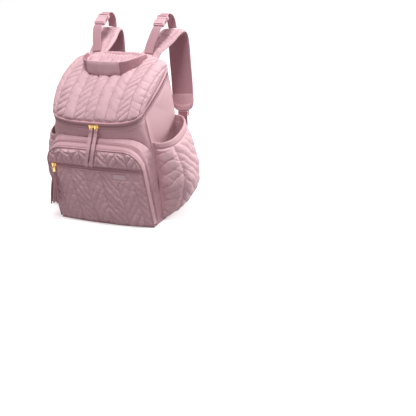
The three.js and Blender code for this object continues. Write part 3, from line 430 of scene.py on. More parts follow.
# %% Cloth simulation
SIM_SCALE, SIM_FRAMES = 0.01, 15


def spread_rows(values, at, count):
    """Values known at a few rows, filled in at every row."""
    flat = values.reshape(len(at), -1)
    full = np.stack([np.interp(np.arange(count), at, column) for column in flat.T], -1)
    return full.reshape(count, *values.shape[1:])


def settled(grid, sewn, most=3.0, pressure=4.0, slack=0.04, size=(96, 120), closed=False):
    """The grid after its cloth has settled. Sewn is 1 where stitches hold it; closed joins its two sides."""
    rows, cols = grid.shape[:2]
    rr = np.unique(np.linspace(0, rows - 1, min(rows, size[0])).round().astype(int))
    cc = np.unique(np.linspace(0, cols - 1, cols if closed else min(cols, size[1])).round().astype(int))
    coarse = grid[rr][:, cc]
    held = np.array(np.broadcast_to(sewn, grid.shape[:2])[rr][:, cc])
    held[[0, -1]] = 1
    if not closed:
        held[:, [0, -1]] = 1
    index = np.arange(len(rr) * len(cc)).reshape(len(rr), len(cc))
    if closed:
        index = np.concatenate([index, index[:, :1]], axis=1)
    faces = grid_quads(index)
    start = coarse.reshape(-1, 3)
    mesh = bpy.data.meshes.new("settling")
    mesh.from_pydata((start * SIM_SCALE).tolist(), [], faces.tolist())
    obj = bpy.data.objects.new("settling", mesh)
    bpy.context.scene.collection.objects.link(obj)
    group = obj.vertex_groups.new(name="stitches")
    for number, weight in enumerate(np.clip(held.ravel(), 0, 1)):
        group.add([number], float(weight), "REPLACE")
    cloth_modifier = obj.modifiers.new("cloth", "CLOTH")
    settings = cloth_modifier.settings
    settings.quality = 5
    settings.mass = 0.2
    settings.bending_stiffness = 0.3
    settings.air_damping = 2
    settings.vertex_group_mass = "stitches"
    settings.pin_stiffness = 1
    settings.use_pressure = True
    settings.uniform_pressure_force = pressure
    settings.shrink_min = -slack
    settings.shrink_max = -slack
    settings.effector_weights.gravity = 0
    cloth_modifier.point_cache.frame_start = 1
    cloth_modifier.point_cache.frame_end = SIM_FRAMES
    for number in range(1, SIM_FRAMES + 1):
        bpy.context.scene.frame_set(number)
    result = obj.evaluated_get(bpy.context.evaluated_depsgraph_get()).data
    place = np.empty(len(start) * 3)
    result.vertices.foreach_get("co", place)
    bpy.context.scene.frame_set(1)
    bpy.data.objects.remove(obj)
    bpy.data.meshes.remove(mesh)
    moved = place.reshape(-1, 3) / SIM_SCALE - start
    far = np.linalg.norm(moved, axis=1, keepdims=True)
    moved = moved * np.minimum(1, most / np.maximum(far, 1e-6))
    moved = spread_rows(moved.reshape(len(rr), len(cc), 3), rr, rows)
    if not closed:
        moved = spread_rows(moved.transpose(1, 0, 2), cc, cols).transpose(1, 0, 2)
    print("  settled:", len(start), "points, moved", round(float(far.mean()), 2), "mm on average")
    return grid + moved


# %% [markdown]
# ## Materials
# All the cloth is one recipe: a woven bump from two crossed waves on the cloth's own UV map, a slow drift
# of colour over the bag, painted shade that darkens the colour down in the stitched creases, folds and
# gathers, and sheen, which is what makes nylon look soft at its edges. Leather look is smoother with a fine
# grain and the same painted shade in its folds and dents, and the zips' metal is polished light gold.


# %% Material helpers
CRUMPLE_MM, BRUSHED_MM = 1.8, 0.1


def tone(red, green, blue):
    """A colour picked as screen values from 0 to 255, as the linear numbers that shaders use."""
    c = np.array([red, green, blue]) / 255
    linear = np.where(c <= 0.04045, c / 12.92, ((c + 0.055) / 1.055) ** 2.4)
    return (*[float(v) for v in linear], 1.0)


def new_material(name):
    """A new material, its node tree and its Principled shader."""
    material = bpy.data.materials.new(name)
    material.use_nodes = True
    tree = material.node_tree
    return material, tree, tree.nodes["Principled BSDF"]


def node(tree, kind, **settings):
    """Adds a node and sets its properties."""
    made = tree.nodes.new(kind)
    for key, value in settings.items():
        setattr(made, key, value)
    return made


def math_node(tree, operation, a, b):
    """A Math node on two values, each a socket or a number."""
    made = node(tree, "ShaderNodeMath", operation=operation)
    for socket, value in zip(made.inputs, (a, b)):
        if isinstance(value, (int, float)):
            socket.default_value = value
        else:
            tree.links.new(value, socket)
    return made.outputs[0]


def mixed(tree, first, second, share):
    """A colour between two, by a share that comes from a socket."""
    mix = node(tree, "ShaderNodeMix", data_type="RGBA")
    mix.inputs[6].default_value = first
    mix.inputs[7].default_value = second
    tree.links.new(share, mix.inputs[0])
    return mix.outputs[2]


def texture(tree, kind, place, numbers, **settings):
    """A texture that reads a place. Numbers says what each of its sockets is set to."""
    made = node(tree, kind, **settings)
    for socket, value in numbers.items():
        made.inputs[socket].default_value = value
    tree.links.new(place, made.inputs["Vector"])
    return made


def bump(tree, height, strength, distance, below=None):
    """A bump from a height, laid over another bump if there is one."""
    made = node(tree, "ShaderNodeBump")
    made.inputs["Strength"].default_value = strength
    made.inputs["Distance"].default_value = distance
    tree.links.new(height, made.inputs["Height"])
    if below is not None:
        tree.links.new(below, made.inputs["Normal"])
    return made.outputs["Normal"]


def worn_roughness(tree, shader, drift, spread, least):
    """Roughness from least to least plus spread, by a slow drift over the piece."""
    wear = math_node(tree, "MULTIPLY", drift, spread)
    tree.links.new(math_node(tree, "ADD", wear, least), shader.inputs["Roughness"])


# %% Woven cloth
def weave_height(tree, thread, twill):
    """The weave: waves across the cloth's own UV map, times waves along it, or one set aslant for twill."""
    place = node(tree, "ShaderNodeMapping")
    place.inputs["Rotation"].default_value = (0, 0, math.radians(38 if twill else 0))
    tree.links.new(node(tree, "ShaderNodeUVMap", uv_map="cloth").outputs["UV"], place.inputs["Vector"])
    scale = 2 * math.pi * UV_MM / (20 * thread)
    numbers = {"Scale": scale, "Distortion": 0.35, "Detail": 1.0, "Detail Scale": 0.6}
    waves = [texture(tree, "ShaderNodeTexWave", place.outputs["Vector"], numbers, wave_type="BANDS",
                     bands_direction=direction).outputs["Fac"] for direction in ("X", "Y")]
    return waves[0] if twill else math_node(tree, "MULTIPLY", *waves)


def cloth(name, color, dark, thread=0.9, relief=0.12, rough=0.62, sheen=0.35, twill=False):
    """Woven cloth. Thread is the weave's pitch and relief its height, both in mm."""
    material, tree, shader = new_material(name)
    weave = weave_height(tree, thread, twill)
    place = node(tree, "ShaderNodeTexCoord").outputs["Object"]
    near = node(tree, "ShaderNodeAttribute", attribute_name="crease").outputs["Fac"]
    slow = texture(tree, "ShaderNodeTexNoise", place, {"Scale": 14, "Detail": 3}).outputs["Fac"]
    fine = texture(tree, "ShaderNodeTexNoise", place, {"Scale": 900, "Detail": 2}).outputs["Fac"]
    drift = math_node(tree, "MULTIPLY", slow, 0.22)
    speck = math_node(tree, "MULTIPLY", fine, 0.16)
    # Painted shade: the crease attribute darkens the colour towards the dark tone in stitched creases, folds
    # and gathers.
    crease_shade = math_node(tree, "MULTIPLY", near, 0.3)
    shade = math_node(tree, "ADD", math_node(tree, "ADD", drift, speck), crease_shade)
    depth = math_node(tree, "SUBTRACT", shade, 0.12)
    tree.links.new(mixed(tree, color, dark, depth), shader.inputs["Base Color"])
    crumple = texture(tree, "ShaderNodeTexNoise", place,
                      {"Scale": 130, "Detail": 3, "Roughness": 0.45, "Distortion": 0.6}).outputs["Fac"]
    gathered = math_node(tree, "ADD", math_node(tree, "MULTIPLY", near, 0.9), 0.35)
    threads = bump(tree, weave, 0.6, relief * MM)
    soft = bump(tree, math_node(tree, "MULTIPLY", crumple, gathered), 0.5, CRUMPLE_MM * MM, threads)
    tree.links.new(soft, shader.inputs["Normal"])
    worn_roughness(tree, shader, slow, 0.18, rough - 0.09)
    shader.inputs["Sheen Weight"].default_value = sheen
    shader.inputs["Sheen Roughness"].default_value = 0.45
    shader.inputs["Sheen Tint"].default_value = tone(246, 222, 226)
    shader.inputs["Specular IOR Level"].default_value = 0.3
    return material


# %% Leather look, plastic and metal
def smooth_skin(name, color, dark, rough, grain_mm, height_mm, coat=0.0):
    """Leather look or moulded plastic: a fine cell grain in the bump and a slow drift in colour."""
    material, tree, shader = new_material(name)
    place = node(tree, "ShaderNodeTexCoord").outputs["Object"]
    cells = texture(tree, "ShaderNodeTexVoronoi", place, {"Scale": 1000 / grain_mm}, feature="SMOOTH_F1")
    slow = texture(tree, "ShaderNodeTexNoise", place, {"Scale": 45, "Detail": 5}).outputs["Fac"]
    near = node(tree, "ShaderNodeAttribute", attribute_name="crease").outputs["Fac"]
    shade = math_node(tree, "MULTIPLY", slow, 0.4)
    # Painted shade: the crease attribute darkens the colour in folds and dents.
    shade = math_node(tree, "ADD", shade, math_node(tree, "MULTIPLY", near, 0.5))
    depth = math_node(tree, "SUBTRACT", shade, 0.1)
    tree.links.new(mixed(tree, color, dark, depth), shader.inputs["Base Color"])
    tree.links.new(bump(tree, cells.outputs["Distance"], 0.5, height_mm * MM), shader.inputs["Normal"])
    worn_roughness(tree, shader, slow, 0.2, rough - 0.1)
    shader.inputs["Coat Weight"].default_value = coat
    shader.inputs["Coat Roughness"].default_value = 0.25
    return material


def metal(name, color, dark, rough):
    """Plated metal with faint brushing and a few duller patches."""
    material, tree, shader = new_material(name)
    place = node(tree, "ShaderNodeTexCoord").outputs["Object"]
    slow = texture(tree, "ShaderNodeTexNoise", place, {"Scale": 260, "Detail": 4}).outputs["Fac"]
    patches = math_node(tree, "MULTIPLY", slow, 0.6)
    tree.links.new(mixed(tree, color, dark, patches), shader.inputs["Base Color"])
    worn_roughness(tree, shader, slow, 0.2, rough - 0.08)
    tree.links.new(bump(tree, slow, 0.25, BRUSHED_MM * MM), shader.inputs["Normal"])
    shader.inputs["Metallic"].default_value = 1.0
    return material


# %% The bag's finishes
ROSE = tone(215, 179, 185)
ROSE_DEEP = tone(150, 103, 114)
nylon = cloth("rose_nylon_smooth", ROSE, ROSE_DEEP, thread=0.7, relief=0.05, twill=True)
quilt = cloth("rose_nylon_quilted", tone(224, 190, 196), ROSE_DEEP, thread=0.8, relief=0.07, twill=True)
piping_cloth = cloth("rose_piping", tone(214, 176, 183), ROSE_DEEP, thread=0.6, relief=0.05)
tape_cloth = cloth("rose_zip_tape", tone(202, 164, 171), tone(140, 98, 108), thread=1.0, relief=0.14,
                   sheen=0.2)
webbing_cloth = cloth("rose_grosgrain", tone(200, 160, 168), ROSE_DEEP, thread=1.6, relief=0.3, sheen=0.25)
dark_webbing = cloth("mauve_webbing", tone(166, 118, 128), tone(112, 70, 80), thread=1.5, relief=0.3,
                     sheen=0.2)
mesh_cloth = cloth("mauve_spacer_mesh", tone(184, 144, 152), tone(118, 80, 90), thread=2.2, relief=0.5,
                   sheen=0.25)
lining_cloth = cloth("pale_lining", tone(214, 203, 200), tone(166, 150, 148), relief=0.06, sheen=0.1)
leather = smooth_skin("rose_leather_look", tone(212, 176, 183), tone(166, 124, 134), 0.42, 0.9, 0.05)
band_webbing = cloth("mauve_handle_webbing", tone(180, 138, 147), tone(124, 84, 94), thread=1.5, relief=0.3,
                     sheen=0.2)
tassel_leather = smooth_skin("rose_tassel_leather", tone(178, 133, 143), tone(120, 78, 88), 0.45, 0.9, 0.05)
thread_cloth = smooth_skin("rose_thread", tone(224, 190, 197), tone(176, 132, 142), 0.6, 0.4, 0.03)
label_satin = cloth("pale_satin_label", tone(232, 208, 212), tone(200, 168, 174), thread=0.5, relief=0.03,
                    rough=0.45)
buckle_plastic = smooth_skin("rose_acetal", tone(226, 188, 195), tone(188, 140, 150), 0.3, 0.35, 0.015,
                             coat=0.25)
board_plastic = smooth_skin("mauve_board", tone(123, 76, 88), tone(90, 52, 62), 0.6, 0.8, 0.05)
gold = metal("light_gold", tone(255, 226, 158), tone(228, 186, 104), 0.32)
coil_nylon = smooth_skin("zip_coil", tone(178, 136, 145), tone(132, 88, 99), 0.4, 0.5, 0.02)
print("materials:", len(bpy.data.materials))

# %% [markdown]
# ## The bag's surfaces as formulas
# A squared arch bends the front of the rim round its corners, and shares of the height draw the walls in at
# the foot and the top. These are the shapes that the solids follow, so the cloth fits over them.

# %% Body shape
HALF_WIDTH, BACK_TOP, SHELL = 145.0, 400.0, 2.4
BASE_FRONT, BASE_CORNER, BASE_TUCK, BASE_THICK, BACK_ROUND = -96.0, 14.0, 3.0, 3.0, 8.0
BODY_FOOT = BASE_THICK + GAP
SIDE_BACK = BACK_Y - SHELL - GAP
RIM_FRONT_Y, RIM_FRONT_Z, RIM_CORNER_X, RIM_CORNER_Y = -101.0, 269.0, 132.0, -53.0
RIM_CORNER_Z, RIM_BACK_X, RIM_BACK_Z, RIM_BOW, RIM_POWER = 294.0, 139.0, 362.0, 4.0, 3.0
TAPE, LID_TAPE, TAPE_THICK, TAPE_RIB, PIPING_R = 8.0, 5.0, 1.2, 2.6, 2.2
LID_RISE = LID_TAPE + 2.3 * PIPING_R + 6 * GAP
LID_THICK, LID_INSET, LID_POWER, LID_SQUARER = 3.0, 2.0, 2.6, 2.4


def arch(s, power):
    """A squared arch: sin(90 deg * s) across, and the drop 1 - (1 - |across|^p)^(1/p)."""
    across = np.sin(np.asarray(s, float) * math.pi / 2)
    drop = 1 - np.maximum(0, 1 - np.abs(across) ** power) ** (1 / power)
    return across, drop


def round_off(y):
    """How far a side draws in on a circle of 8 mm where it turns into the back."""
    into = np.maximum(0, y - (BACK_Y - BACK_ROUND))
    return BACK_ROUND - np.sqrt(np.maximum(0, BACK_ROUND ** 2 - into ** 2))


def rim_point(k, out=0.0, up=0.0):
    """The main zip's line from the left back end (-1) over the front (0) to the right back end (1)."""
    k = np.asarray(k, float)
    side = np.where(k < 0, -1.0, 1.0)
    place = np.abs(k) * 2
    across, drop = arch(np.minimum(place, 1), RIM_POWER)
    front = stack((RIM_CORNER_X + out) * across, lerp(RIM_FRONT_Y - out, RIM_CORNER_Y, drop),
                  lerp(RIM_FRONT_Z, RIM_CORNER_Z, drop) + up)
    t = np.clip(place - 1, 0, 1)
    y = lerp(RIM_CORNER_Y, SIDE_BACK, t)
    x = lerp(RIM_CORNER_X, RIM_BACK_X, t) + RIM_BOW * np.sin(math.pi * t) + out - round_off(y)
    point = np.where((place <= 1)[..., None], front, stack(x, y, lerp(RIM_CORNER_Z, RIM_BACK_Z, t) + up))
    return point * stack(side, 1, 1)


def seam_x(v):
    """Half-width of the body at its front seam, at a share of its height."""
    v = np.clip(v, 0, 1.02)
    return HALF_WIDTH - BASE_TUCK * (1 - np.minimum(v, 1)) ** 6 - (HALF_WIDTH - RIM_CORNER_X) * v ** 6


def seam_y(v):
    """Depth of the front seam: it swings forward over the height and back again under the rim."""
    return -35.0 - 32.0 * v + 14.0 * v ** 8


def wall_power(v):
    """Squareness of the front wall's section, from a round foot to the rim's corners."""
    return lerp(2.1, RIM_POWER, np.clip(v, 0, 1) ** 3)


def wall_point(s, v, inset=0.0):
    """The front wall: s from -1 to 1 across, v from the base to the zip."""
    across, drop = arch(s, wall_power(v))
    top = lerp(RIM_FRONT_Z, RIM_CORNER_Z, drop) - TAPE
    y = lerp(lerp(-62.0, RIM_FRONT_Y, v), seam_y(v), drop) + inset * (1 - drop)
    return stack((seam_x(v) - inset) * across, y, lerp(BODY_FOOT, top, v))


def wall_depth(x, z):
    """Depth of the front wall at a place seen from the front, found in six rounds."""
    v = z / RIM_FRONT_Z
    for _ in range(6):
        share = np.minimum(1, np.abs(x) / seam_x(v))
        power = wall_power(v)
        drop = 1 - (1 - share ** power) ** (1 / power)
        v = (z - BODY_FOOT) / (lerp(RIM_FRONT_Z, RIM_CORNER_Z, drop) - TAPE - BODY_FOOT)
    return lerp(lerp(-62.0, RIM_FRONT_Y, v), seam_y(v), drop)


def gusset_point(u, v, inset=0.0):
    """The right side wall: u from the front seam to the back, v from the base to the zip."""
    y = lerp(seam_y(v) + GAP, SIDE_BACK, u)
    back_x = HALF_WIDTH - BASE_TUCK * (1 - v) ** 6 - (HALF_WIDTH - RIM_BACK_X) * v ** 6
    bow = RIM_BOW * v ** 2 + 5.0 * np.sin(math.pi * v)
    x = lerp(seam_x(v), back_x, u) + bow * np.sin(math.pi * u) - round_off(y) - inset
    return stack(x, y, lerp(BODY_FOOT, lerp(RIM_CORNER_Z, RIM_BACK_Z, u) - TAPE, v))


def gusset_width(y, z):
    """Half-width of the side wall at a depth and a height, found in six rounds."""
    v = z / RIM_CORNER_Z
    for _ in range(6):
        u = np.clip((y - seam_y(v)) / (SIDE_BACK - seam_y(v)), 0, 1)
        v = (z - BODY_FOOT) / (lerp(RIM_CORNER_Z, RIM_BACK_Z, u) - TAPE - BODY_FOOT)
    return gusset_point(u, v)[..., 0]


def lid_point(s, t, inset=0.0):
    """The lid: a cubic crown line from front to back, and a squared arch across it down to the rim."""
    s, t = np.broadcast_arrays(np.asarray(s, float), np.asarray(t, float))
    across, drop = arch(s, lerp(RIM_POWER, LID_POWER, t) + LID_SQUARER * np.sin(math.pi * t))
    edge = rim_point(0.5 + t / 2)
    start = np.array([RIM_FRONT_Y + LID_INSET, RIM_FRONT_Z + LID_RISE])
    end = np.array([BACK_Y, BACK_TOP])
    first, second = start + [18, 48], end - [75, 8]
    q = t[..., None]
    crown = start * (1 - q) ** 3 + 3 * first * q * (1 - q) ** 2 + 3 * second * q ** 2 * (1 - q) + end * q ** 3
    slope = unit(3 * (first - start) * (1 - q) ** 2 + 6 * (second - first) * q * (1 - q)
                 + 3 * (end - second) * q ** 2)
    deep = inset * (1 - drop)
    x = (edge[..., 0] - LID_INSET - inset) * across
    y = lerp(crown[..., 0], edge[..., 1] + (BACK_Y - SIDE_BACK) * t ** 4, drop) + deep * slope[..., 1]
    z = lerp(crown[..., 1], edge[..., 2] + LID_RISE, drop) - deep * slope[..., 0]
    return stack(x, np.minimum(y, BACK_Y), z)


def net(rows, cols, low=0.0, high=1.0):
    """Two grids of shares: u from -1 to 1 along each row, and v from low to high up the rows."""
    u, v = np.meshgrid(np.linspace(-1, 1, cols), np.linspace(low, high, rows))
    return u, v


def puff(outside, height):
    """Moves a grid along its own normals."""
    return outside + grid_normals(outside) * height[..., None]


def fade(u, v, side=0.03, foot=0.03, top=0.03):
    """1 in the middle of a piece and 0 at its sewn edges, for u from -1 to 1 and v from 0 to 1."""
    return smooth((1 - np.abs(u)) / side) * smooth(v / foot) * smooth((1 - v) / top)


def sewn_sides(v, reach=0.25):
    """How deep a tape lies in the shade of its own two seams, over its width."""
    return 1.5 * (2 - smooth(v / reach) - smooth((1 - v) / reach))


def bent_at_hinge(obj):
    """Bakes the placement of a piece of the lid into its points."""
    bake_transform(obj)


NARROWEST = 0.0101


def as_sheet(obj, outside):
    """Measures a piece of cloth's cut size along its own rows and columns; the sizes go unused and the piece
    comes back as it is.
    """
    a, b = grid_lengths(outside)
    width = float((a[:, -1] - a[:, 0]).max()) * MM
    length = float(b[-1].max()) * MM
    width, length = max(width, NARROWEST), max(length, NARROWEST)
    return obj


# %% [markdown]
# ## Stitches
# A row of stitches is a line of small beads, each lying along the path with a gap before the next. They are
# what tells a sewn edge from a moulded one, so the pulls, the label, the webbings' ends, the handle and the
# front pocket's seams get them.


# %% Stitches
def stitches(name, lines, body, slot, long=2.6, gap=1.1, radius=0.32, mirror=False, lean=False):
    """Beads along one or more lines: six-sided spindles, thin at both ends."""
    points, faces, count = [], [], 0
    angle = np.arange(6) * 2 * math.pi / 6
    for line in lines:
        line = np.asarray(line, float)
        number = max(1, int(run_along(line)[-1] // (long + gap)))
        fine = resample(line, 2 * number + 1)
        start = fine[0:-1:2]
        along = unit(fine[1::2] - start)
        p = unit(np.cross(along, np.where(np.abs(along[:, 2:]) > 0.8, [[1.0, 0, 0]], [[0, 0, 1.0]])))
        q = np.cross(along, p)
        spokes = p[:, None] * np.cos(angle)[None, :, None] + q[:, None] * np.sin(angle)[None, :, None]
        rings = [(start + along * long * share)[:, None] + radius * size * spokes
                 for share, size in ((0.0, 0.35), (0.25, 1.0), (0.75, 1.0), (1.0, 0.35))]
        row, row_faces = beads(np.stack(rings, 1), count)
        points.append(row)
        faces += row_faces
        count += len(row)
    return add_mesh(name, np.concatenate(points), faces, body, thread_cloth, slot, mirror=mirror, lean=lean)


# %% [markdown]
# ## The quilted lid
# Columns of herringbone run from the front of the lid to its back, strong ribs in every other one. The
# cloth is lifted off the smooth crown along its normals by the quilting's height, and fades to nothing at
# the sewn rim.

# %% Lid
u, t = net(170, 220)
base = lid_point(u, t)
a, b = grid_lengths(base)
columns = (0.6, -0.12, -0.3, 1.0, -0.15, 0.5, -0.3, 0.9, -0.12, 1.0)
relief, near = herringbone(a + 15 - 0.06 * (b - 120), b, 31, 19.5, 0.9, 11, columns, 1.2)
gathered = smooth((t - 0.84) / 0.08) * smooth((88 - np.abs(base[..., 0])) / 16)
pleats = np.abs(np.sin(a * math.pi / 8.5 + 0.7 * ripples(a, b, 9, 60, 25) + 0.02 * b)) ** 0.7
relief, near = lerp(relief, pleats * 1.05, gathered), lerp(near, (1 - pleats) ** 2 * 0.9, gathered)
edge = fade(u, t, 0.045, 0.03, 0.012)
creases = folds(a, b, 5, 160, 50, 0.5, 0.7, 3) * 0.9
height = edge * (5.2 * relief - 1.2 + 1.6 * ripples(a, b, 3, 150, 60) - creases) + 0.2
lid_cloth = settled(puff(base, height), np.maximum(near, 1 - edge) * 1.3 - 0.25, 2.2, 2.5, 0.02)
hem = stack(0 * u, 0 * u, 2.6 * (1 - smooth((1 - np.abs(u)) / 0.03) * smooth(t / 0.025)))
# The crease values paint shade along the quilting's stitch lines.
lid = slab("lid_quilt", lid_cloth - hem, lid_point(u, t, LID_THICK) - hem, None, quilt, "quilted_nylon",
           "lid_panel", crease=1.7 * near * edge)
as_sheet(lid, base)
bent_at_hinge(lid)
print("lid:", lid_cloth.shape[0] * lid_cloth.shape[1], "points outside")

# %% [markdown]
# ## The rim: piping, zip tapes and coil
# The zip's line goes round three sides of the bag. The two tapes are ribbed ribbons above and below it, and
# the coil is two rows of small teeth, one on each tape, that mesh while the zip is closed.


# %% Rim helpers
def teeth(name, line, outwards, up, body, pitch, start, size):
    """Rounded teeth along a line: each is a small six-sided bead that reaches from its tape to the other."""
    number = int(run_along(line)[-1] // pitch)
    centre = resample(line, 2 * number + 1)[start::2][:number]
    along = unit(np.gradient(centre, axis=0))
    out = unit(outwards(np.linspace(0, 1, len(centre))) + 0 * centre)
    out = unit(out - along * np.einsum("ij,ij->i", out, along)[:, None])
    tall = np.cross(along, out) * up
    long, reach, deep = size
    shape = np.array([[-1, -1, 0], [1, -1, 0], [1, 1, 0], [-1, 1, 0]], float)
    rings = []
    for share, swell in ((-0.5, 0.7), (-0.2, 1.0), (0.3, 1.0), (0.5, 0.6)):
        corner = shape * swell
        rings.append(centre[:, None] + along[:, None] * corner[None, :, :1] * long / 2
                     + out[:, None] * corner[None, :, 1:2] * deep / 2 + tall[:, None] * reach * share)
    return add_mesh(name, *beads(np.stack(rings, 1)), body, coil_nylon, "zip_tape")


def square_to(line, beside):
    """Gives directions square to a line and to another direction, at shares of the line's length."""
    outwards = unit(np.cross(np.gradient(line, axis=0), beside))
    return lambda share: outwards[np.clip((share * (len(line) - 1)).astype(int), 0, len(line) - 1)]


# %% Main zip
def rim_band(name, low, high, body, replaces):
    """A ribbon of tape along the rim, between two heights off the coil line, with a ribbed face."""
    u, v = net(9, 620)
    line = rim_point(u, 0, lerp(low, high, v))
    a, _ = grid_lengths(line)
    ribbed = 0.16 * np.cos(a * 2 * math.pi / TAPE_RIB) + 0.3 * ripples(a, a * 0, 21, 120, 40)
    outside = puff(line, ribbed * smooth(v / 0.2) * smooth((1 - v) / 0.2) + 0.1)
    inside = line - grid_normals(line) * TAPE_THICK
    obj = slab(name, outside, inside, body, tape_cloth, "zip_tape", replaces, crease=sewn_sides(v))
    return as_sheet(obj, line)


rim_band("body_tape_cloth", GAP - TAPE, -GAP, "bag", "body_zip_tape")
bent_at_hinge(rim_band("lid_tape_cloth", GAP, LID_TAPE + 1.8, None, "lid_zip_tape"))
COIL_PITCH, COIL_TOOTH, COIL_APART = 2.4, (1.0, 2.0, 1.5), [0, 0, 0.5]
coil_line = resample(rim_point(np.linspace(-0.99, 0.99, 900), 0.5), 900)
coil_out = square_to(coil_line, [0, 0, 1.0])
bent_at_hinge(teeth("main_coil_lid", coil_line + COIL_APART, coil_out, 1, None, COIL_PITCH, 0, COIL_TOOTH))
teeth("main_coil_body", coil_line - COIL_APART, coil_out, -1, "bag", COIL_PITCH, 1, COIL_TOOTH)


def piping(name, line, radius, body, replaces=(), seed=1, mirror=False, sides=12):
    """A covered cord along a line, with the small pinches that a bent covering gets."""
    along = run_along(line)
    pinch = 1 + 0.03 * ripples(along, along * 0, seed, 30, 8) + 0.015 * np.cos(along * 2 * math.pi / 3.1)
    rings = tube_rings(line, radius * pinch, sides)
    return sweep(name, rings, body, piping_cloth, "rose_nylon", replaces, mirror)


rim_line = resample(rim_point(np.linspace(-1, 1, 900), 0.1, LID_TAPE + PIPING_R + 1.2), 420)
bent_at_hinge(piping("lid_piping_cord", rim_line, PIPING_R + 0.5, None, "lid_piping", 2))
print("zip and rim pieces:", len(PIECES))

# %% [markdown]
# ## The body's walls
# The walls are smooth cloth over soft foam: a few long folds, a little slack, and a corded seam where the
# front wall meets each side.

# %% Front wall and sides
SEAM_R = 1.5
u, v = net(120, 170)
base = wall_point(u, v)
a, b = grid_lengths(base)
crease = folds(a, b, 33, 110, 50, math.pi / 2, 0.2, 3)
relief = fade(u, v) * (1.9 * ripples(a, b, 31, 150, 60, math.pi / 2, 0.4) - crease)
# Its crease values paint shade in the folds.
wall = slab("front_wall_cloth", puff(base, relief), wall_point(u, v, SHELL), "bag", nylon, "rose_nylon",
            "front_wall", crease=crease * 0.3)
as_sheet(wall, base)

for side, mirror, seed in (("right", False, 41), ("left", True, 47)):
    u, v = net(120, 90)
    base = gusset_point((u + 1) / 2, v)
    a, b = grid_lengths(base)
    crease = folds(a, b, seed, 200, 110, 0.9, 0.3, 3)
    slack = 2.6 * ripples(a, b, seed + 1, 220, 90, 0.9, 0.5) - 0.9 * crease + 0.4
    relief = fade(u, v, 0.25, 0.03, 0.03) * slack
    # Its crease values paint shade in the folds.
    gusset = slab(f"side_wall_{side}", puff(base, relief), gusset_point((u + 1) / 2, v, SHELL), "bag", nylon,
                  "rose_nylon", f"side_gusset_{side}", mirror, crease=crease * 0.15)
    as_sheet(gusset, base)
    seam = resample(wall_point(np.ones(200), np.linspace(0.01, 0.995, 200)) + [0.6, -0.6, 0], 200)
    piping(f"corner_seam_{side}", seam, SEAM_R, "bag", seed=seed, mirror=mirror, sides=8)

# %% Base, back and its padding
half_base = HALF_WIDTH - BASE_TUCK - GAP
u, v = net(70, 110)
front_edge = BASE_FRONT - 9.0 * (1 - u ** 2)
y = lerp(front_edge, BACK_Y - GAP, v)
into = np.maximum(0, y - (BACK_Y - GAP - BASE_CORNER))
half = half_base - BASE_CORNER + np.sqrt(np.maximum(0, BASE_CORNER ** 2 - into ** 2))
under = stack(-u * half, y, 0 * y)
a, b = grid_lengths(under)
under[..., 2] = 0.25 + 0.25 * ripples(a, b, 51, 90, 30)
over = stack(-u * half, y, 0 * y + BASE_THICK)
base_cloth = slab("base_cloth", under, over, "bag", nylon, "rose_nylon", "base_panel")
as_sheet(base_cloth, under)

u, v = net(120, 110)
across = np.sin(u * math.pi / 2)
top_edge = lid_point(u, np.ones_like(u), LID_THICK + 4 * GAP)
z = lerp(BODY_FOOT, np.minimum(top_edge[..., 2], BACK_TOP), v)
side_edge = gusset_point(1.0, np.clip((z - BODY_FOOT) / (RIM_BACK_Z - TAPE - BODY_FOOT), 0, 1))[..., 0]
x = lerp(side_edge * across, top_edge[..., 0], smooth((v - 0.965) / 0.035))
corner = np.maximum(0, np.abs(x) - (HALF_WIDTH - 2 * BACK_ROUND)) / (2 * BACK_ROUND)
back = stack(-x, BACK_Y - 1.4 * corner ** 2, z)
a, b = grid_lengths(back)
relief = fade(u, v) * (0.7 * ripples(a, b, 57, 120, 50) - 0.5) - 0.05
back_cloth = slab("back_cloth", back + stack(0 * x, relief, 0 * x), stack(-x, BACK_Y - SHELL + 0 * x, z),
                  "bag", nylon, "rose_nylon", "back_panel")
as_sheet(back_cloth, back)
for side, mirror in SIDES:
    line = gusset_point(1.0, np.linspace(0.004, 1.0, 240)) + [-0.6, 1.0, 0]
    piping(f"back_seam_{side}", line, SEAM_R, "bag", seed=53, mirror=mirror, sides=8)

u, v = net(110, 90)
x = -96.0 * u
z = lerp(36.0, 352.0, v)
channel = np.mod((v * 316 - 20) / 69.0, 1)
tuft = pillow(np.minimum(channel, 1 - channel) * 5.0)
spine = pillow(np.abs(x) / 9.0)
swell = np.clip(np.cos(u * math.pi / 2) * np.sin(math.pi * v), 0, 1) ** 0.22
cushion = np.minimum(tuft, spine)
out = BACK_Y + GAP + 1.6 + 7.5 * swell * (0.35 + 0.65 * cushion) + 0.5 * ripples(x, z, 61, 80, 30)
pad = settled(stack(x, out, z), np.clip(1.4 - 2 * cushion, 0, 1), 2.5, 2.0, size=(70, 64))
# The crease values paint shade in the pad's tufts and along its spine.
pad_cloth = slab("back_pad", pad, stack(x, BACK_Y + GAP + 0 * x, z), "bag", mesh_cloth, "rose_nylon",
                 "back_padding", crease=1 - cushion)
print("body pieces:", len(PIECES))

# %% [markdown]
# ## Inside: lining and slip pocket
# The lining is one thin bag inside the shell, its outside and its inside joined at the rim.


# %% Lining and slip pocket
LINING_IN, LINING_THICK, LINING_ROUND = 4.2, 1.0, 130
SLIP_IN, SLIP_HALF, SLIP_THICK = 3.7, 100.0, 1.0


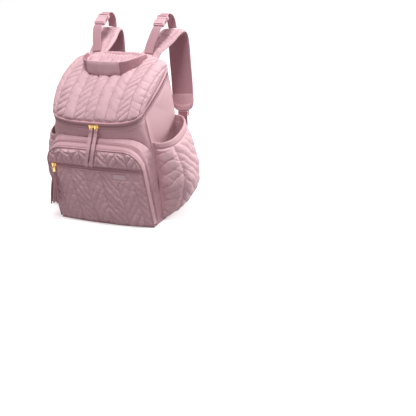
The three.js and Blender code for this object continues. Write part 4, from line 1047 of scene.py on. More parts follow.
def lining_rings(rows, inset, seed):
    """Rings of the lining from its floor up: front wall, right side, back and left side, counterclockwise."""
    rings = []
    for v in rows:
        front = wall_point(np.linspace(-1, 1, 60), np.full(60, v), inset)
        side = gusset_point(np.linspace(0.05, 1, 24), np.full(24, v), inset)
        side[:, 1] = np.minimum(side[:, 1], BACK_Y - SHELL - inset)
        end = side[-1]
        across = np.linspace(1, -1, 40)[1:-1]
        rear = stack(end[0] * across, end[1] + 0 * across, end[2] + 0 * across)
        rings.append(np.concatenate([front, side, rear, side[::-1] * [-1, 1, 1]]))
    rings = np.array(rings)
    around = np.linspace(0, 2 * math.pi, rings.shape[1], endpoint=False)[None, :, None]
    wave = ripples(np.sin(around) * LINING_ROUND, rings[..., 2:3], seed, 90, 35)
    inwards = unit(-rings * [1, 1, 0])
    return rings + inwards * (0.5 + 0.5 * wave) * 1.1


rows = np.concatenate([[0.0], np.linspace(0.02, 0.97, 26)])
outer = lining_rings(rows, LINING_IN, 71)
inner = lining_rings(rows, LINING_IN + LINING_THICK, 71)
outer[0, :, 2] = BODY_FOOT + 0.3
inner[0, :, 2] = BODY_FOOT + 1.1
lining_obj = sweep("lining_bag", np.concatenate([outer, inner[::-1]]), "bag", lining_cloth, "lining_cloth",
                   "lining")

u, v = net(60, 110)
hollow = np.cos(u * math.pi / 2) ** 0.7 * np.sin(math.pi / 2 * v) ** 0.6
seat = BACK_Y - SHELL - SLIP_IN - LINING_IN
slip = stack(u * SLIP_HALF, seat - 16 * hollow, lerp(60.0, 225.0, v) - 3 * np.cos(u * math.pi / 2) * v)
a, b = grid_lengths(slip)
slip = puff(slip, 0.6 * fade(u, v) * ripples(a, b, 77, 70, 25))
slip_obj = slab("slip_pocket_cloth", slip, SLIP_THICK, "bag", lining_cloth, "lining_cloth", "inner_pocket")
as_sheet(slip_obj, slip)
print("inside pieces:", len(PIECES))

# %% [markdown]
# ## The front pocket
# A box of smooth cloth with a U-shaped zip round it, closed by a quilted panel. The panel is in two parts
# with a level zip between them, hidden between two folded welts. Its quilting is flatter than the lid's:
# steep ribs in wide columns, wrinkled like a panel that carries weight.

# %% Pocket shape
P_BOTTOM_Y, P_TOP_Y, P_TOP, P_HALF, P_CORNER = -97.0, -121.0, 213.0, 143.0, 50.0
P_REAR_TOP, P_REAR_CORNER, P_WALL, P_ZIP_Z, P_THICK = 237.0, 46.0, 2.0, 162.0, 3.0
STRIP_FRONT, STRIP_ZIP, STRIP_REAR = 4.0, 15.0, 23.0
PANEL_INSET = PIPING_R + 2 * GAP


def pocket_outline(p, half, top, corner):
    """The pocket seen from the front: straight sides, two round corners and a flat top, p from -1 to 1."""
    side = np.where(p < 0, -1.0, 1.0)
    flat, bend = half - corner, corner * math.pi / 2
    along = np.abs(p) * (flat + bend + top - corner - BODY_FOOT)
    angle = np.clip((along - flat) / corner, 0, math.pi / 2)
    x = np.minimum(along, flat) + corner * np.sin(angle)
    z = top - corner + corner * np.cos(angle) - np.maximum(0, along - flat - bend)
    return side * x, z


def panel_plane(z):
    """Depth of the plane that the panel is sewn to."""
    return lerp(P_BOTTOM_Y, P_TOP_Y, (z - BODY_FOOT) / (P_TOP - BODY_FOOT))


def panel_point(u, z, out=0.0, inset=0.0):
    """The panel's outside: each part swells on a half sine over its height, and the foot bows forward."""
    into = np.maximum(0, z - (P_TOP - P_CORNER))
    half = P_HALF - P_CORNER + np.sqrt(np.maximum(0, (P_CORNER - inset) ** 2 - into ** 2))
    share = u * half / P_HALF
    low = 5.5 * np.sin(math.pi * np.clip((z - BODY_FOOT) / (P_ZIP_Z - BODY_FOOT), 0, 1))
    high = 3.0 * np.sin(math.pi * np.clip((z - P_ZIP_Z) / (P_TOP - P_ZIP_Z), 0, 1))
    bow = lerp(9.0, 1.5, np.clip((z - BODY_FOOT) / (P_ZIP_Z - BODY_FOOT), 0, 1))
    rise = (low + high) * (1 - share ** 4) + bow * (1 - share ** 2)
    return stack(u * half, panel_plane(z) - rise - out, z)


def pocket_strip(p, back, inset=0.0):
    """The pocket's side and top: p round the outline, back in mm behind the panel, or None for the wall."""
    fx, fz = pocket_outline(p, P_HALF - inset, P_TOP - inset, P_CORNER - inset)
    rear_half = seam_x(fz / RIM_FRONT_Z) - GAP - inset
    rx, rz = pocket_outline(p, rear_half, P_REAR_TOP - inset, P_REAR_CORNER - inset)
    front = stack(fx, panel_plane(fz), fz)
    rear = stack(rx, wall_depth(np.abs(rx) - (P_WALL - inset + 2 * GAP), rz) - 3 * GAP, rz)
    share = 1.0 if back is None else (back / np.linalg.norm(rear - front, axis=-1))[..., None]
    return front + (rear - front) * share


# %% Pocket sides and U-shaped zip
u, v = net(44, 420)
near_edge, far_edge = pocket_strip(u, STRIP_REAR + GAP), pocket_strip(u, None)
base = near_edge + (far_edge - near_edge) * v[..., None]
inner_near, inner_far = pocket_strip(u, STRIP_REAR + GAP, P_WALL), pocket_strip(u, None, P_WALL)
inside = inner_near + (inner_far - inner_near) * v[..., None]
a, b = grid_lengths(base)
slack = smooth(v / 0.12) * smooth((1 - v) / 0.12) * smooth((1 - np.abs(u)) / 0.03)
crease = folds(a, b, 83, 60, 24, 0.0, 0.5, 4)
height = slack * (1.1 * ripples(a, b, 81, 110, 40) - 0.9 * crease + 0.4)
# Its crease values paint shade in the folds.
gusset = slab("pocket_side_cloth", puff(base, height), inside, "bag", nylon, "rose_nylon", "pocket_gusset",
              crease=crease * 0.4)
as_sheet(gusset, base)

u, v = net(7, 420)
tape = pocket_strip(u, lerp(STRIP_ZIP + GAP, STRIP_REAR, v))
inside = pocket_strip(u, lerp(STRIP_ZIP + GAP, STRIP_REAR, v), TAPE_THICK)
a, b = grid_lengths(tape)
height = 0.14 * np.cos(a * 2 * math.pi / TAPE_RIB) - 0.2
ribbed = puff(tape, height * np.sin(math.pi * v))
obj = slab("pocket_tape_cloth", ribbed, inside, "bag", tape_cloth, "zip_tape", "pocket_zip_tape",
           crease=sewn_sides(v))
as_sheet(obj, tape)
k_fine = np.linspace(-0.97, 0.97, 700)
u_line = resample(pocket_strip(k_fine, (STRIP_ZIP + STRIP_REAR) / 2 + 0 * k_fine), 900)
POCKET_COIL_PITCH = 2.2
teeth("pocket_coil", u_line, square_to(u_line, [0, -1.0, 0]), 1, "bag", POCKET_COIL_PITCH, 0,
      (1.1, 3.0, 1.3))

u, v = net(26, 420)
strip = pocket_strip(0.985 * u, lerp(STRIP_FRONT, STRIP_ZIP, v))
inside = pocket_strip(0.985 * u, lerp(STRIP_FRONT, STRIP_ZIP, v), P_WALL)
a, b = grid_lengths(strip)
round_edge = 0.9 * np.sin(math.pi * v) ** 0.6
obj = slab("pocket_front_strip_cloth", puff(strip, round_edge + 0.25 * ripples(a, b, 85, 60, 20)), inside,
           "pocket_front", nylon, "rose_nylon", "pocket_front_strip")
as_sheet(obj, strip)

# %% Quilted panels
PANEL_ZIP_TRAVEL, ZIP_HALF = 240.0, 6.0
LABEL_X, LABEL_HALF, LABEL_LOW, LABEL_HIGH = 73, 19, 136.0, 149.0


def panel_cloth(name, low, high, rows, replaces, seed, column, pitch, slope, lift, strength):
    """One quilted part of the pocket's panel, between two heights."""
    u, v = net(rows, 210)
    z = lerp(low, high, v)
    base = panel_point(u, z, 0, PANEL_INSET)
    a, b = grid_lengths(base)
    tucked = np.maximum(0, 7 - (z - BODY_FOOT))
    base[..., 1] += 7 - np.sqrt(49 - tucked ** 2)
    relief, near = herringbone(a + column / 2 + 0.1 * (b - 70), b, column, pitch, slope, seed, strength, 2.4)
    wrinkle = folds(a, b, seed + 3, 60, 26, 1.2, 0.5, 5)
    edge = fade(u, v, 0.03, 3 / (high - low), 7 / (high - low))
    label_off = np.abs(base[..., 0] - LABEL_X), np.abs(z - (LABEL_LOW + LABEL_HIGH) / 2)
    under_label = smooth((26 - label_off[0]) / 5) * smooth((13 - label_off[1]) / 4)
    cap_low, cap_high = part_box("panel_tassel_cap")
    cap_x = (cap_low.x + cap_high.x) / 2 / MM + PANEL_ZIP_TRAVEL
    by_cap = smooth((15 - np.abs(base[..., 0] - cap_x)) / 5) * smooth((z - P_ZIP_Z + 34) / 6) * (z < P_ZIP_Z)
    edge = edge * (1 - under_label) * (1 - 0.8 * by_cap)
    height = edge * (lift * relief - 0.6 + 1.8 * ripples(a, b, seed + 1, 150, 60) - 1.0 * wrinkle)
    inside = base + stack(0 * z, P_THICK + 0 * z, 0 * z)
    outside = settled(puff(base, height), np.maximum(near, 1 - edge) * 1.4 - 0.4, 2.6, slack=0.04)
    # The crease values paint shade along the quilting's stitches and in its wrinkles.
    obj = slab(name, outside, inside, "pocket_front", quilt, "quilted_nylon", replaces,
               crease=np.clip(0.6 * near + 0.2 * wrinkle, 0, 1) * edge)
    return as_sheet(obj, base)


panel_cloth("panel_quilt_lower", BODY_FOOT, P_ZIP_Z - ZIP_HALF, 150, "pocket_panel_lower", 91, column=46,
            pitch=27, slope=1.4, lift=2.6, strength=(0.85, -1.0))
panel_cloth("panel_quilt_upper", P_ZIP_Z + ZIP_HALF, P_TOP - PANEL_INSET, 64, "pocket_panel_upper", 97,
            column=27, pitch=22, slope=1.0, lift=4.2, strength=(1.0, -1.0))

# %% Level zip, welts, piping, panel lining and label
tape_y = panel_point(0.35, np.array(P_ZIP_Z))[1]
u, v = net(7, 420)
x = panel_point(u, P_ZIP_Z + 0 * u, 0, PANEL_INSET)[..., 0]
z = lerp(P_ZIP_Z - ZIP_HALF + GAP, P_ZIP_Z + ZIP_HALF - GAP, v)
ribbed = 0.12 * np.cos(x * 2 * math.pi / TAPE_RIB) * np.sin(math.pi * v)
tape = stack(x, tape_y - ribbed, z)
obj = slab("level_tape_cloth", tape, stack(x, tape_y + TAPE_THICK + 0 * x, z), "pocket_front", tape_cloth,
           "zip_tape", "panel_zip_tape")
as_sheet(obj, stack(x, tape_y + 0 * x, z))
level_line = stack(np.linspace(-137, 137, 600), tape_y - 0.35 + np.zeros(600), P_ZIP_Z + np.zeros(600))
teeth("level_coil", level_line, lambda share: np.array([0, -1.0, 0]) + 0 * share[:, None], 1, "pocket_front",
      POCKET_COIL_PITCH, 0, (1.1, 3.0, 0.9))

for name, low, high, fold_at in (("welt_upper", P_ZIP_Z + 5.6, P_ZIP_Z + 11.5, 0),
                                 ("welt_lower", P_ZIP_Z - 11.5, P_ZIP_Z - 5.6, 1)):
    u, v = net(14, 260)
    z = lerp(low, high, v)
    base = panel_point(u, z, 0.5, PANEL_INSET + 0.4)
    a, b = grid_lengths(base)
    lip = 1.1 * np.sin(math.pi * np.clip(v * 0.9 + 0.05, 0, 1)) ** 0.5
    lip = lip * (1 + 0.12 * ripples(a, b, 101 + fold_at, 60, 20)) * smooth((1 - np.abs(u)) / 0.02)
    # The crease values paint shade along each welt's folded lip beside the zip.
    obj = slab(name, puff(base, lip), panel_point(u, z, 0.0, PANEL_INSET + 0.4), "pocket_front", nylon,
               "rose_nylon", crease=np.clip(1 - 4 * np.abs(v - fold_at), 0, 1) * 0.5)
    as_sheet(obj, base)

p = np.linspace(-1, 1, 700)
ox, oz = pocket_outline(p, P_HALF, P_TOP, P_CORNER)
outline = stack(ox, panel_plane(oz) + PIPING_R / 2, np.maximum(oz, BODY_FOOT + PIPING_R))
piping("panel_piping_cord", resample(outline, 340), PIPING_R, "pocket_front", replaces="panel_piping", seed=3)

u, v = net(50, 80)
z = lerp(BODY_FOOT + 2 * PIPING_R, P_TOP - 4 * PIPING_R, v ** 0.8)
base = panel_point(u, z, -P_THICK - 3 * GAP, 4 * PIPING_R)
obj = slab("panel_lining_cloth", base, base + stack(0 * z, 1.0 + 0 * z, 0 * z), "pocket_front", lining_cloth,
           "lining_cloth", "pocket_panel_lining")
as_sheet(obj, base)

u, v = net(14, 40)
base = panel_point((LABEL_X + LABEL_HALF * u) / P_HALF, lerp(LABEL_LOW, LABEL_HIGH, v), 0.8 + GAP)
bulge = 0.35 * np.cos(u * math.pi / 2) * np.sin(math.pi * v)
label = slab("label_cloth", puff(base, bulge), base + [0, 0.8, 0], "pocket_front", label_satin,
             "leather_look", "label_tab")
as_sheet(label, base)
margin = 1.6
ends = (np.array([margin - LABEL_HALF, LABEL_HALF - margin]) + LABEL_X) / P_HALF
box = [panel_point(ends, np.full(2, edge_z), 1.4) for edge_z in (LABEL_LOW + margin, LABEL_HIGH - margin)]
upright = [np.stack([box[0][k], box[1][k]]) for k in (0, 1)]
stitches("label_stitches", box + upright, "pocket_front", "leather_look", 1.6, 0.8, 0.22)
print("pocket pieces:", len(PIECES))

# %% [markdown]
# ## The side pockets
# Each one is a quilted bag of cloth that stands far off the side wall, with a smooth hem gathered by
# elastic.

# %% Side pockets
S_FRONT, S_BACK, S_BOTTOM, S_FRONT_RIM, S_BACK_RIM = -51.0, 71.0, 8.0, 216.0, 248.0
S_BELLY, S_RIM_BULGE, S_BELLY_SHARE, S_POWER, S_THICK, S_HEM = 57.0, 37.0, 0.46, 2.8, 2.6, 15.0
FLAP_IN = 1.0


def side_pocket_point(u, v, inset=0.0):
    """The right side pocket: u from 0 at its front to 1 at its back, v from its foot to its rim."""
    across, drop = arch(2 * u - 1, S_POWER)
    back = (1 + across) / 2
    y = lerp(S_FRONT + inset, S_BACK - inset, back)
    z = lerp(S_BOTTOM + inset, lerp(S_FRONT_RIM, S_BACK_RIM, back ** 1.6), v)
    over = np.maximum(0, v - S_BELLY_SHARE) / (1 - S_BELLY_SHARE)
    low = S_BELLY * np.sin(math.pi / 2 * np.clip(v / S_BELLY_SHARE, 0, 1)) ** 0.7
    swell = np.where(v < S_BELLY_SHARE, low, lerp(S_BELLY, S_RIM_BULGE, over ** 1.6)) - inset
    return stack(gusset_width(y, z) + GAP + S_THICK + (1 - drop) * swell, y, z)


def flapped(grid, further=0.0, rows=1):
    """The grid with a seam flap into the side wall at each side, and as many rows of it at the foot."""
    grid = np.pad(grid, ((rows, rows), (1, 1), (0, 0)), mode="edge")
    for part in (grid[:, :1], grid[:, -1:], grid[:rows]):
        part[..., 0] = gusset_width(part[..., 1], part[..., 2]) - FLAP_IN + further
    return grid


hem_share = S_HEM / (S_FRONT_RIM - S_BOTTOM)
for side, mirror, seed in (("right", False, 111), ("left", True, 117)):
    u, v = net(150, 200)
    w = (u + 1) / 2
    base = side_pocket_point(w, np.maximum(v, 0.004) * (1 - hem_share))
    a, b = grid_lengths(base)
    relief, near = herringbone(a + 38, b, 90, 26, 1.0, seed, (-0.55, 0.6), 3.0)
    slack = folds(a, b, seed + 3, 90, 40, 0.7, 0.4, 4)
    edge = fade(u, v, 0.05, 0.04, 0.03)
    fuller = 7.0 * np.sin(math.pi * np.clip(v, 0, 1)) ** 1.2 * np.cos(u * math.pi / 2)
    height = edge * (3.4 * relief - 0.6 + 2.4 * ripples(a, b, seed + 1, 140, 60) - 0.8 * slack) + fuller
    inside = base - grid_normals(base) * S_THICK
    outside = settled(puff(base, height), np.maximum(near, 1 - edge) * 1.3 - 0.25, 2.4, 2.5, 0.02)
    # The crease values paint shade along the stitches and in the folds.
    crease = np.pad(np.clip(0.8 * near + 0.2 * slack, 0, 1) * edge, 1)
    obj = slab(f"side_pocket_quilt_{side}", flapped(outside), flapped(inside, 0.3), "bag", quilt,
               "quilted_nylon", f"side_pocket_{side}", mirror, crease)
    as_sheet(obj, base)
    u, v = net(20, 420)
    w = (u + 1) / 2
    base = side_pocket_point(w, lerp(1 - hem_share + 0.0014, 1, v))
    a, b = grid_lengths(base)
    gather = np.sin(a * 2 * math.pi / 7.5 + 1.4 * np.sin(a * 2 * math.pi / 47)) * 0.22
    rows_of_elastic = 0.3 * np.abs(np.sin(2 * math.pi * v))
    roll = 1.3 * np.sin(math.pi * v) ** 0.5
    height = smooth((1 - np.abs(u)) / 0.03) * (roll + rows_of_elastic + gather * (0.4 + 0.6 * v))
    outside = flapped(puff(base, height), rows=0)
    inside = flapped(base - grid_normals(base) * S_THICK, 0.3, rows=0)
    # The crease values paint shade in the hollows of the gathers.
    crease = np.pad(np.clip(-gather, 0, 1) * 0.4 + 0 * base[..., 0], ((0, 0), (1, 1)))
    obj = slab(f"side_pocket_hem_cloth_{side}", outside, inside, "bag", nylon, "rose_nylon",
               f"side_pocket_hem_{side}", mirror, crease)
    as_sheet(obj, base)
print("with side pockets:", len(PIECES))

# %% [markdown]
# ## The carry handle and the gathered roll
# The handle's band stands on edge along a path over the lid, and a padded leather-look sleeve wraps its
# middle. Behind it lies a roll of gathered cloth, pleated all along its length.

# %% Handle
H_END_X, H_END_Y, H_SLEEVE_Y, H_SLEEVE_HALF = 88.0, 61.0, -11.0, 50.0
H_THICK, H_TALL, H_END_TALL, H_SLEEVE_THICK = 3.0, 32.0, 12.0, 7.4
STRAIGHT_UP = np.array([0, 0, 1.0])


def lid_height(x, y):
    """Height of the lid at places seen from above, by stepping back and forth along the crown."""
    t, s = np.full(x.shape, 0.5), np.zeros(x.shape)
    for _ in range(40):
        at, edge_x = lid_point(s, t), lid_point(np.ones_like(t), t)[..., 0]
        t = np.clip(t + (y - at[..., 1]) / 400, 0, 1)
        s = np.arcsin(np.clip(x / edge_x, -1, 1)) / (math.pi / 2)
    return lid_point(s, t)[..., 2]


turn_y = (H_END_Y - H_SLEEVE_Y) / 2
half_plan = [(-H_END_X, H_END_Y), (-H_END_X + turn_y / 4, H_END_Y - turn_y),
             (-H_SLEEVE_HALF - turn_y / 5, H_SLEEVE_Y + turn_y / 5), (-H_SLEEVE_HALF / 2, H_SLEEVE_Y)]
plan = half_plan + [(-x, y) for x, y in reversed(half_plan)]
plan_path = smooth_path([(x, y, 0) for x, y in plan], 241)


def handle_rings(low, high, thick, tall_at, round_power, grow=0.0, sides=28):
    """Rings of a band on edge, from a share of the handle's path to another."""
    t = np.linspace(0, 1, len(plan_path))
    keep = (t >= low) & (t <= high)
    at, t = plan_path[keep], t[keep]
    tangent = unit(np.gradient(plan_path, axis=0))[keep]
    side = stack(-tangent[:, 1], tangent[:, 0], 0 * t)
    foot = np.maximum(lid_height(at[:, 0] + side[:, 0] * thick, at[:, 1] + side[:, 1] * thick),
                      lid_height(at[:, 0], at[:, 1]))
    foot = foot + lerp(0.4, 2.4, np.clip(4 * np.minimum(t, 1 - t), 0, 1)) - grow
    tall = tall_at(t) + 2 * grow
    profile = squared_ring(np.full(len(t), thick), tall, round_power, sides)
    middle = stack(at[:, 0], at[:, 1], foot + tall / 2)
    rings = middle[:, None] + side[:, None] * profile[..., :1] + STRAIGHT_UP * profile[..., 1:]
    return rings, middle, side, t


def band_tall(t):
    """Height of the handle's band: low at both ends and full from a third of the way on."""
    return lerp(H_END_TALL, H_TALL, np.minimum(1, 3.4 * np.minimum(t, 1 - t)))


rings, band_middle, band_side, band_t = handle_rings(0, 1, H_THICK, band_tall, 7)
sweep("handle_band_cloth", rings, "handle", band_webbing, "rose_nylon", "handle_band")
SLEEVE_LOW, SLEEVE_HIGH = 0.32, 0.68
SLEEVE_SIDES = 36
rings, middle, sleeve_side, t = handle_rings(SLEEVE_LOW, SLEEVE_HIGH, H_SLEEVE_THICK,
                                             lambda t: H_TALL + 0 * t, 3.6, 1.6, SLEEVE_SIDES)
share = (t - SLEEVE_LOW) / (SLEEVE_HIGH - SLEEVE_LOW)
dent = ripples(share[:, None] * 110, np.arange(SLEEVE_SIDES)[None, :] * 2.2, 131, 45, 15)
centre = rings.mean(1, keepdims=True)
waist = 1 - 0.05 * np.cos(share * 2 * math.pi)[:, None, None]
rings = centre + (rings - centre) * (1 + 0.035 * dent[..., None]) * waist
seam_rows = np.abs(np.sin((np.arange(SLEEVE_SIDES) + 0.5) * 2 * math.pi / SLEEVE_SIDES))[None, :] > 0.85
rings = settled(rings, seam_rows * 1.0, 0.8, 1.0, 0.02, (60, SLEEVE_SIDES), True)
# The crease values paint shade in the sleeve's dents.
sleeve = sweep("handle_sleeve_leather", rings, "handle", leather, "leather_look", "handle_sleeve",
               crease=np.clip(-dent, 0, 1) * 0.5)
lines = []
for out in (-1, 1):
    for up in (-0.36, 0.36):
        lines.append(middle[4:-4] + sleeve_side[4:-4] * out * 3.75 * 0.93 + STRAIGHT_UP * up * H_TALL)
stitches("sleeve_stitches", lines, "handle", "leather_look", 3.0, 1.2, 0.35)
lines = []
for end in (slice(3, 16), slice(-16, -3)):
    for up in (0.22, 0.78):
        rise = (up - 0.5) * band_tall(band_t[end])
        for out in (-1, 1):
            lines.append(band_middle[end] + band_side[end] * out * 1.62 + stack(0 * rise, 0 * rise, rise))
stitches("band_end_stitches", lines, "handle", "rose_nylon", 2.4, 1.0, 0.28)

# %% Gathered roll
ROLL_R, ROLL_UP = 8.6, -1.0
STRAP_FOOT_X, STRAP_FOOT_HALF = 79.0, 24.0
roll_half = STRAP_FOOT_X - STRAP_FOOT_HALF - 5 * GAP
x = np.linspace(-roll_half, roll_half, 340)
angle = np.linspace(0, 2 * math.pi, 40, endpoint=False)
phase = x / 4.6 + 0.7 * np.sin(x / 17.0) + 0.5 * np.sin(x / 7.3 + 1)
twist = 0.12 * np.sin(angle * 3)[None, :] * np.sin(x / 9)[:, None]
pleat = np.abs(np.sin(phase * math.pi / 2))[:, None] ** 0.6 + twist
end_pinch = smooth((roll_half - np.abs(x)) / 6)[:, None]
radius = ROLL_R * (0.84 + 0.2 * pleat) * (0.86 + 0.14 * end_pinch)
sag = 0.5 * np.sin(x / 23.0)
roll = stack(x[:, None] + 0 * radius, BACK_Y + GAP + ROLL_R + radius * np.cos(angle) + sag[:, None],
             BACK_TOP + ROLL_UP - 3.0 - GAP + radius * np.sin(angle) * 1.15)
# The crease values paint shade between the pleats.
roll_obj = sweep("gathered_roll", roll, "bag", nylon, "rose_nylon", "top_yoke",
                 crease=np.clip(1 - pleat, 0, 1) * 0.9)
print("handle and roll:", len(PIECES))

# %% [markdown]
# ## Shoulder straps, webbings and their adjusters
# Each strap rises from the back, goes over where it is hung and comes down behind. Its outer side is
# quilted nylon, its inner side is spacer mesh, and a cord runs round the edge where the two meet.

# %% Straps
STRAP_PATH = [(79, 76.4, 398), (79, 82, 399), (80, 98, 403), (84, 122, 411), (89, 146, 421),
              (93, 166, 430), (96, 182, 434), (98, 194, 430), (99, 200, 417), (100, 200, 390),
              (101, 195, 350), (104, 187, 305), (107, 177, 262), (110, 166, 224)]
LEAN, BUCKLE_X, BUCKLE_Y, BUCKLE_Z, BUCKLE_SLOPE = 5.0, 90.0, 146.0, 476.0, math.radians(30)


def leaned(points):
    """Both straps drift 5 mm to the viewer's right on their way up from the bag."""
    past = np.clip((points[:, 1] - 82) / (BUCKLE_Y - 82), 0, 1)
    return points + stack(LEAN * past, 0 * past, 0 * past)


def strap_size(t):
    """Width and thickness of a strap at a share of its length."""
    end = np.clip((t - 0.9) / 0.1, 0, 1)
    width = lerp(2 * STRAP_FOOT_HALF, 60.0, np.minimum(1, 5 * t)) * np.sqrt(1 - 0.6 * end ** 3)
    return width, lerp(11.0, 7.0, np.maximum(np.maximum(1 - 8 * t, 0), end))


def strap_arch(x, run):
    """How far the strap's foot bends down with the bag's shoulder, outside 66 mm from the middle."""
    return np.maximum(0, x - 66) ** 1.5 * 0.045 * smooth((34 - run) / 30)


STRAP_PATCH = 44.0
STRAP_SIDES = 72
strap_path = smooth_path(STRAP_PATH, 300)
strap_t = np.linspace(0, 1, len(strap_path))
strap_side, strap_normal = path_frame(strap_path, ACROSS_BAG)
strap_width, strap_thick = strap_size(strap_t)
strap_length = run_along(strap_path)[-1]
angle = (np.arange(STRAP_SIDES) + 0.5) * 2 * math.pi / STRAP_SIDES
profile = squared_ring(strap_width, strap_thick, 3.4, STRAP_SIDES)
outer_side = np.sin(angle) > 0
a = profile[..., 0]
b = (strap_t * strap_length)[:, None] + 0 * a
relief, near = herringbone(a + 15, b, 30, 21, 0.8, 141, (0.35, -0.35), 0.8)
folded = np.exp(-((a - 3 - 4 * np.sin(b / 40)) / 3.5) ** 2) * smooth((175 - b) / 60) * smooth((b - 6) / 20)
slumped = folds(b, a, 145, 34, 15, 0.0, 0.45, 4) * smooth((190 - b) / 60)
relief = relief * (1 - 0.8 * folded) - 0.45 * slumped
near = np.maximum(near * 0.5, np.maximum(folded, 0.5 * slumped))
edge = smooth((strap_width[:, None] / 2 - np.abs(a)) / 5) * smooth(b / 12) * smooth((strap_length - b) / 26)
mesh_channel = pillow(np.abs(a) / (strap_width[:, None] * 0.18))
lift = np.where(outer_side[None, :], edge * (2.6 * relief - 0.6), edge * (1.0 * mesh_channel - 0.4))
lift = lift + edge * 0.8 * ripples(a, b, 143, 120, 40)
patched = smooth((b - strap_length + STRAP_PATCH) / 1.5)
lift = lift + np.where(outer_side[None, :], 0, 0.9 * patched)
profile = profile + np.stack([0 * lift, np.where(outer_side[None, :], lift, -lift)], -1)
strap_rings = (strap_path[:, None] + strap_side[:, None] * profile[..., :1]
               + strap_normal[:, None] * profile[..., 1:])
strap_rings[..., 2] -= strap_arch(strap_rings[..., 0], b)
# Painted shade: the crease values darken the quilting's stitch lines on the outer side and the mesh's channel
# edges on the inner side.
crease = np.where(outer_side[None, :], np.clip(near, 0, 1) * edge, 0.6 * (1 - mesh_channel) * edge)
strap_rings = settled(strap_rings, np.maximum(crease, 1 - edge) * 1.3 - 0.3, 2.0, 2.0,
                      size=(130, STRAP_SIDES), closed=True)
edge_line = []
for sign in (1, -1):
    line = strap_path + strap_side * (sign * (strap_width / 2 + 0.6))[:, None]
    line[:, 2] -= strap_arch(line[:, 0], strap_t * strap_length)
    edge_line.append(line if sign > 0 else line[::-1])
for side, mirror in SIDES:
    strap = sweep(f"strap_pad_{side}", strap_rings, "bag", quilt, "quilted_nylon", f"shoulder_strap_{side}",
                  mirror, crease, lean=True)
    strap.data.materials.append(mesh_cloth)
    strap.data.materials.append(nylon)
    finish = np.zeros(len(strap.data.polygons), np.int32)
    patch = np.repeat(strap_t[:-1] * strap_length > strap_length - STRAP_PATCH, STRAP_SIDES)
    finish[:len(patch)] = np.where(patch, 2, 1) * np.tile(~outer_side, len(strap_path) - 1)
    strap.data.polygons.foreach_set("material_index", finish)
    for k, line in enumerate(edge_line):
        rings = tube_rings(resample(line[4:-4], 220), SEAM_R, 8)
        sweep(f"strap_edge_{side}_{k}", rings, "bag", piping_cloth, "rose_nylon", (), mirror, lean=True)
    tail = slice(-30, -8)
    lines = [strap_path[tail] - strap_normal[tail] * (strap_thick[tail] / 2 + 1.6)[:, None]
             + strap_side[tail] * off for off in (-11, 11)]
    cross = [np.linspace(lines[0][start], lines[1][end], 8) for start, end in ((0, 0), (-1, -1), (0, -1))]
    cross.append(np.linspace(lines[1][0], lines[0][-1], 8))
    stitches(f"strap_end_stitches_{side}", lines + cross, "bag", "rose_nylon", mirror=mirror, lean=True)

# %% Webbings and anchors
WEB_W, WEB_T = 25.0, 1.6
RIB_PITCH = 2.4
TAB_X, TAB_LOW, TAB_HALF, TAB_TALL, TAB_CORNER, TAB_THICK = 117.5, 34.0, 18.0, 30.0, 3.0, 3.0
LOWER_WEB = [(110.2, 162.1, 222), (111.2, 158.5, 209.6), (112, 154, 190), (114, 141, 145), (116, 118, 98),
             (117, 100, 76), (117.5, 83, 66), (117.5, 79.5, 56), (117.5, 79.4, 40)]
CLIP_FOOT, CLIP_BENDS = np.array([79.0, 85, 405.3]), ((0.136, 0.186, 0.25), (0.59, 0.471, 0.59))
mouth = np.array([BUCKLE_X, BUCKLE_Y, BUCKLE_Z])
axis = np.array([0, math.cos(BUCKLE_SLOPE), math.sin(BUCKLE_SLOPE)])
clip_end = mouth - axis * (23 + 3 * GAP)
CLIP_WEB = [CLIP_FOOT] + [lerp(CLIP_FOOT, clip_end, np.array(bend)) for bend in CLIP_BENDS] + [
    mouth - axis * (23 + 8.3), clip_end]
LOOP_WEB = [mouth + off for off in np.array([
    (0, 10.9, 6.3), (0, 18.5, 9.6), (0, 28, 8), (0.5, 36.5, 1.5), (1, 42, -8), (1.5, 44, -18), (2, 44.3, -28),
    (3, 44.3, -36)])]


def ribbed_band(path, count, seed):
    """Rings of webbing: a flat band with small ribs across it and slightly wavy edges."""
    line = smooth_path(path, count)
    run = np.linspace(0, run_along(line)[-1], count)
    width = WEB_W + 0.25 * ripples(run, run * 0, seed, 40, 12)
    thick = WEB_T + 0.12 * np.cos(run * 2 * math.pi / RIB_PITCH)
    return band_rings(line, ACROSS_BAG, width, thick, 9, 28), line


def webbing(kind, side, mirror, body, material, slot, path, count, seed):
    """One webbing along its path. Gives the piece and its line."""
    rings, line = ribbed_band(path, count, seed)
    obj = sweep(f"{kind}_web_{side}", rings, body, material, slot, f"{kind}_webbing_{side}", mirror,
                lean=True)
    return obj, line


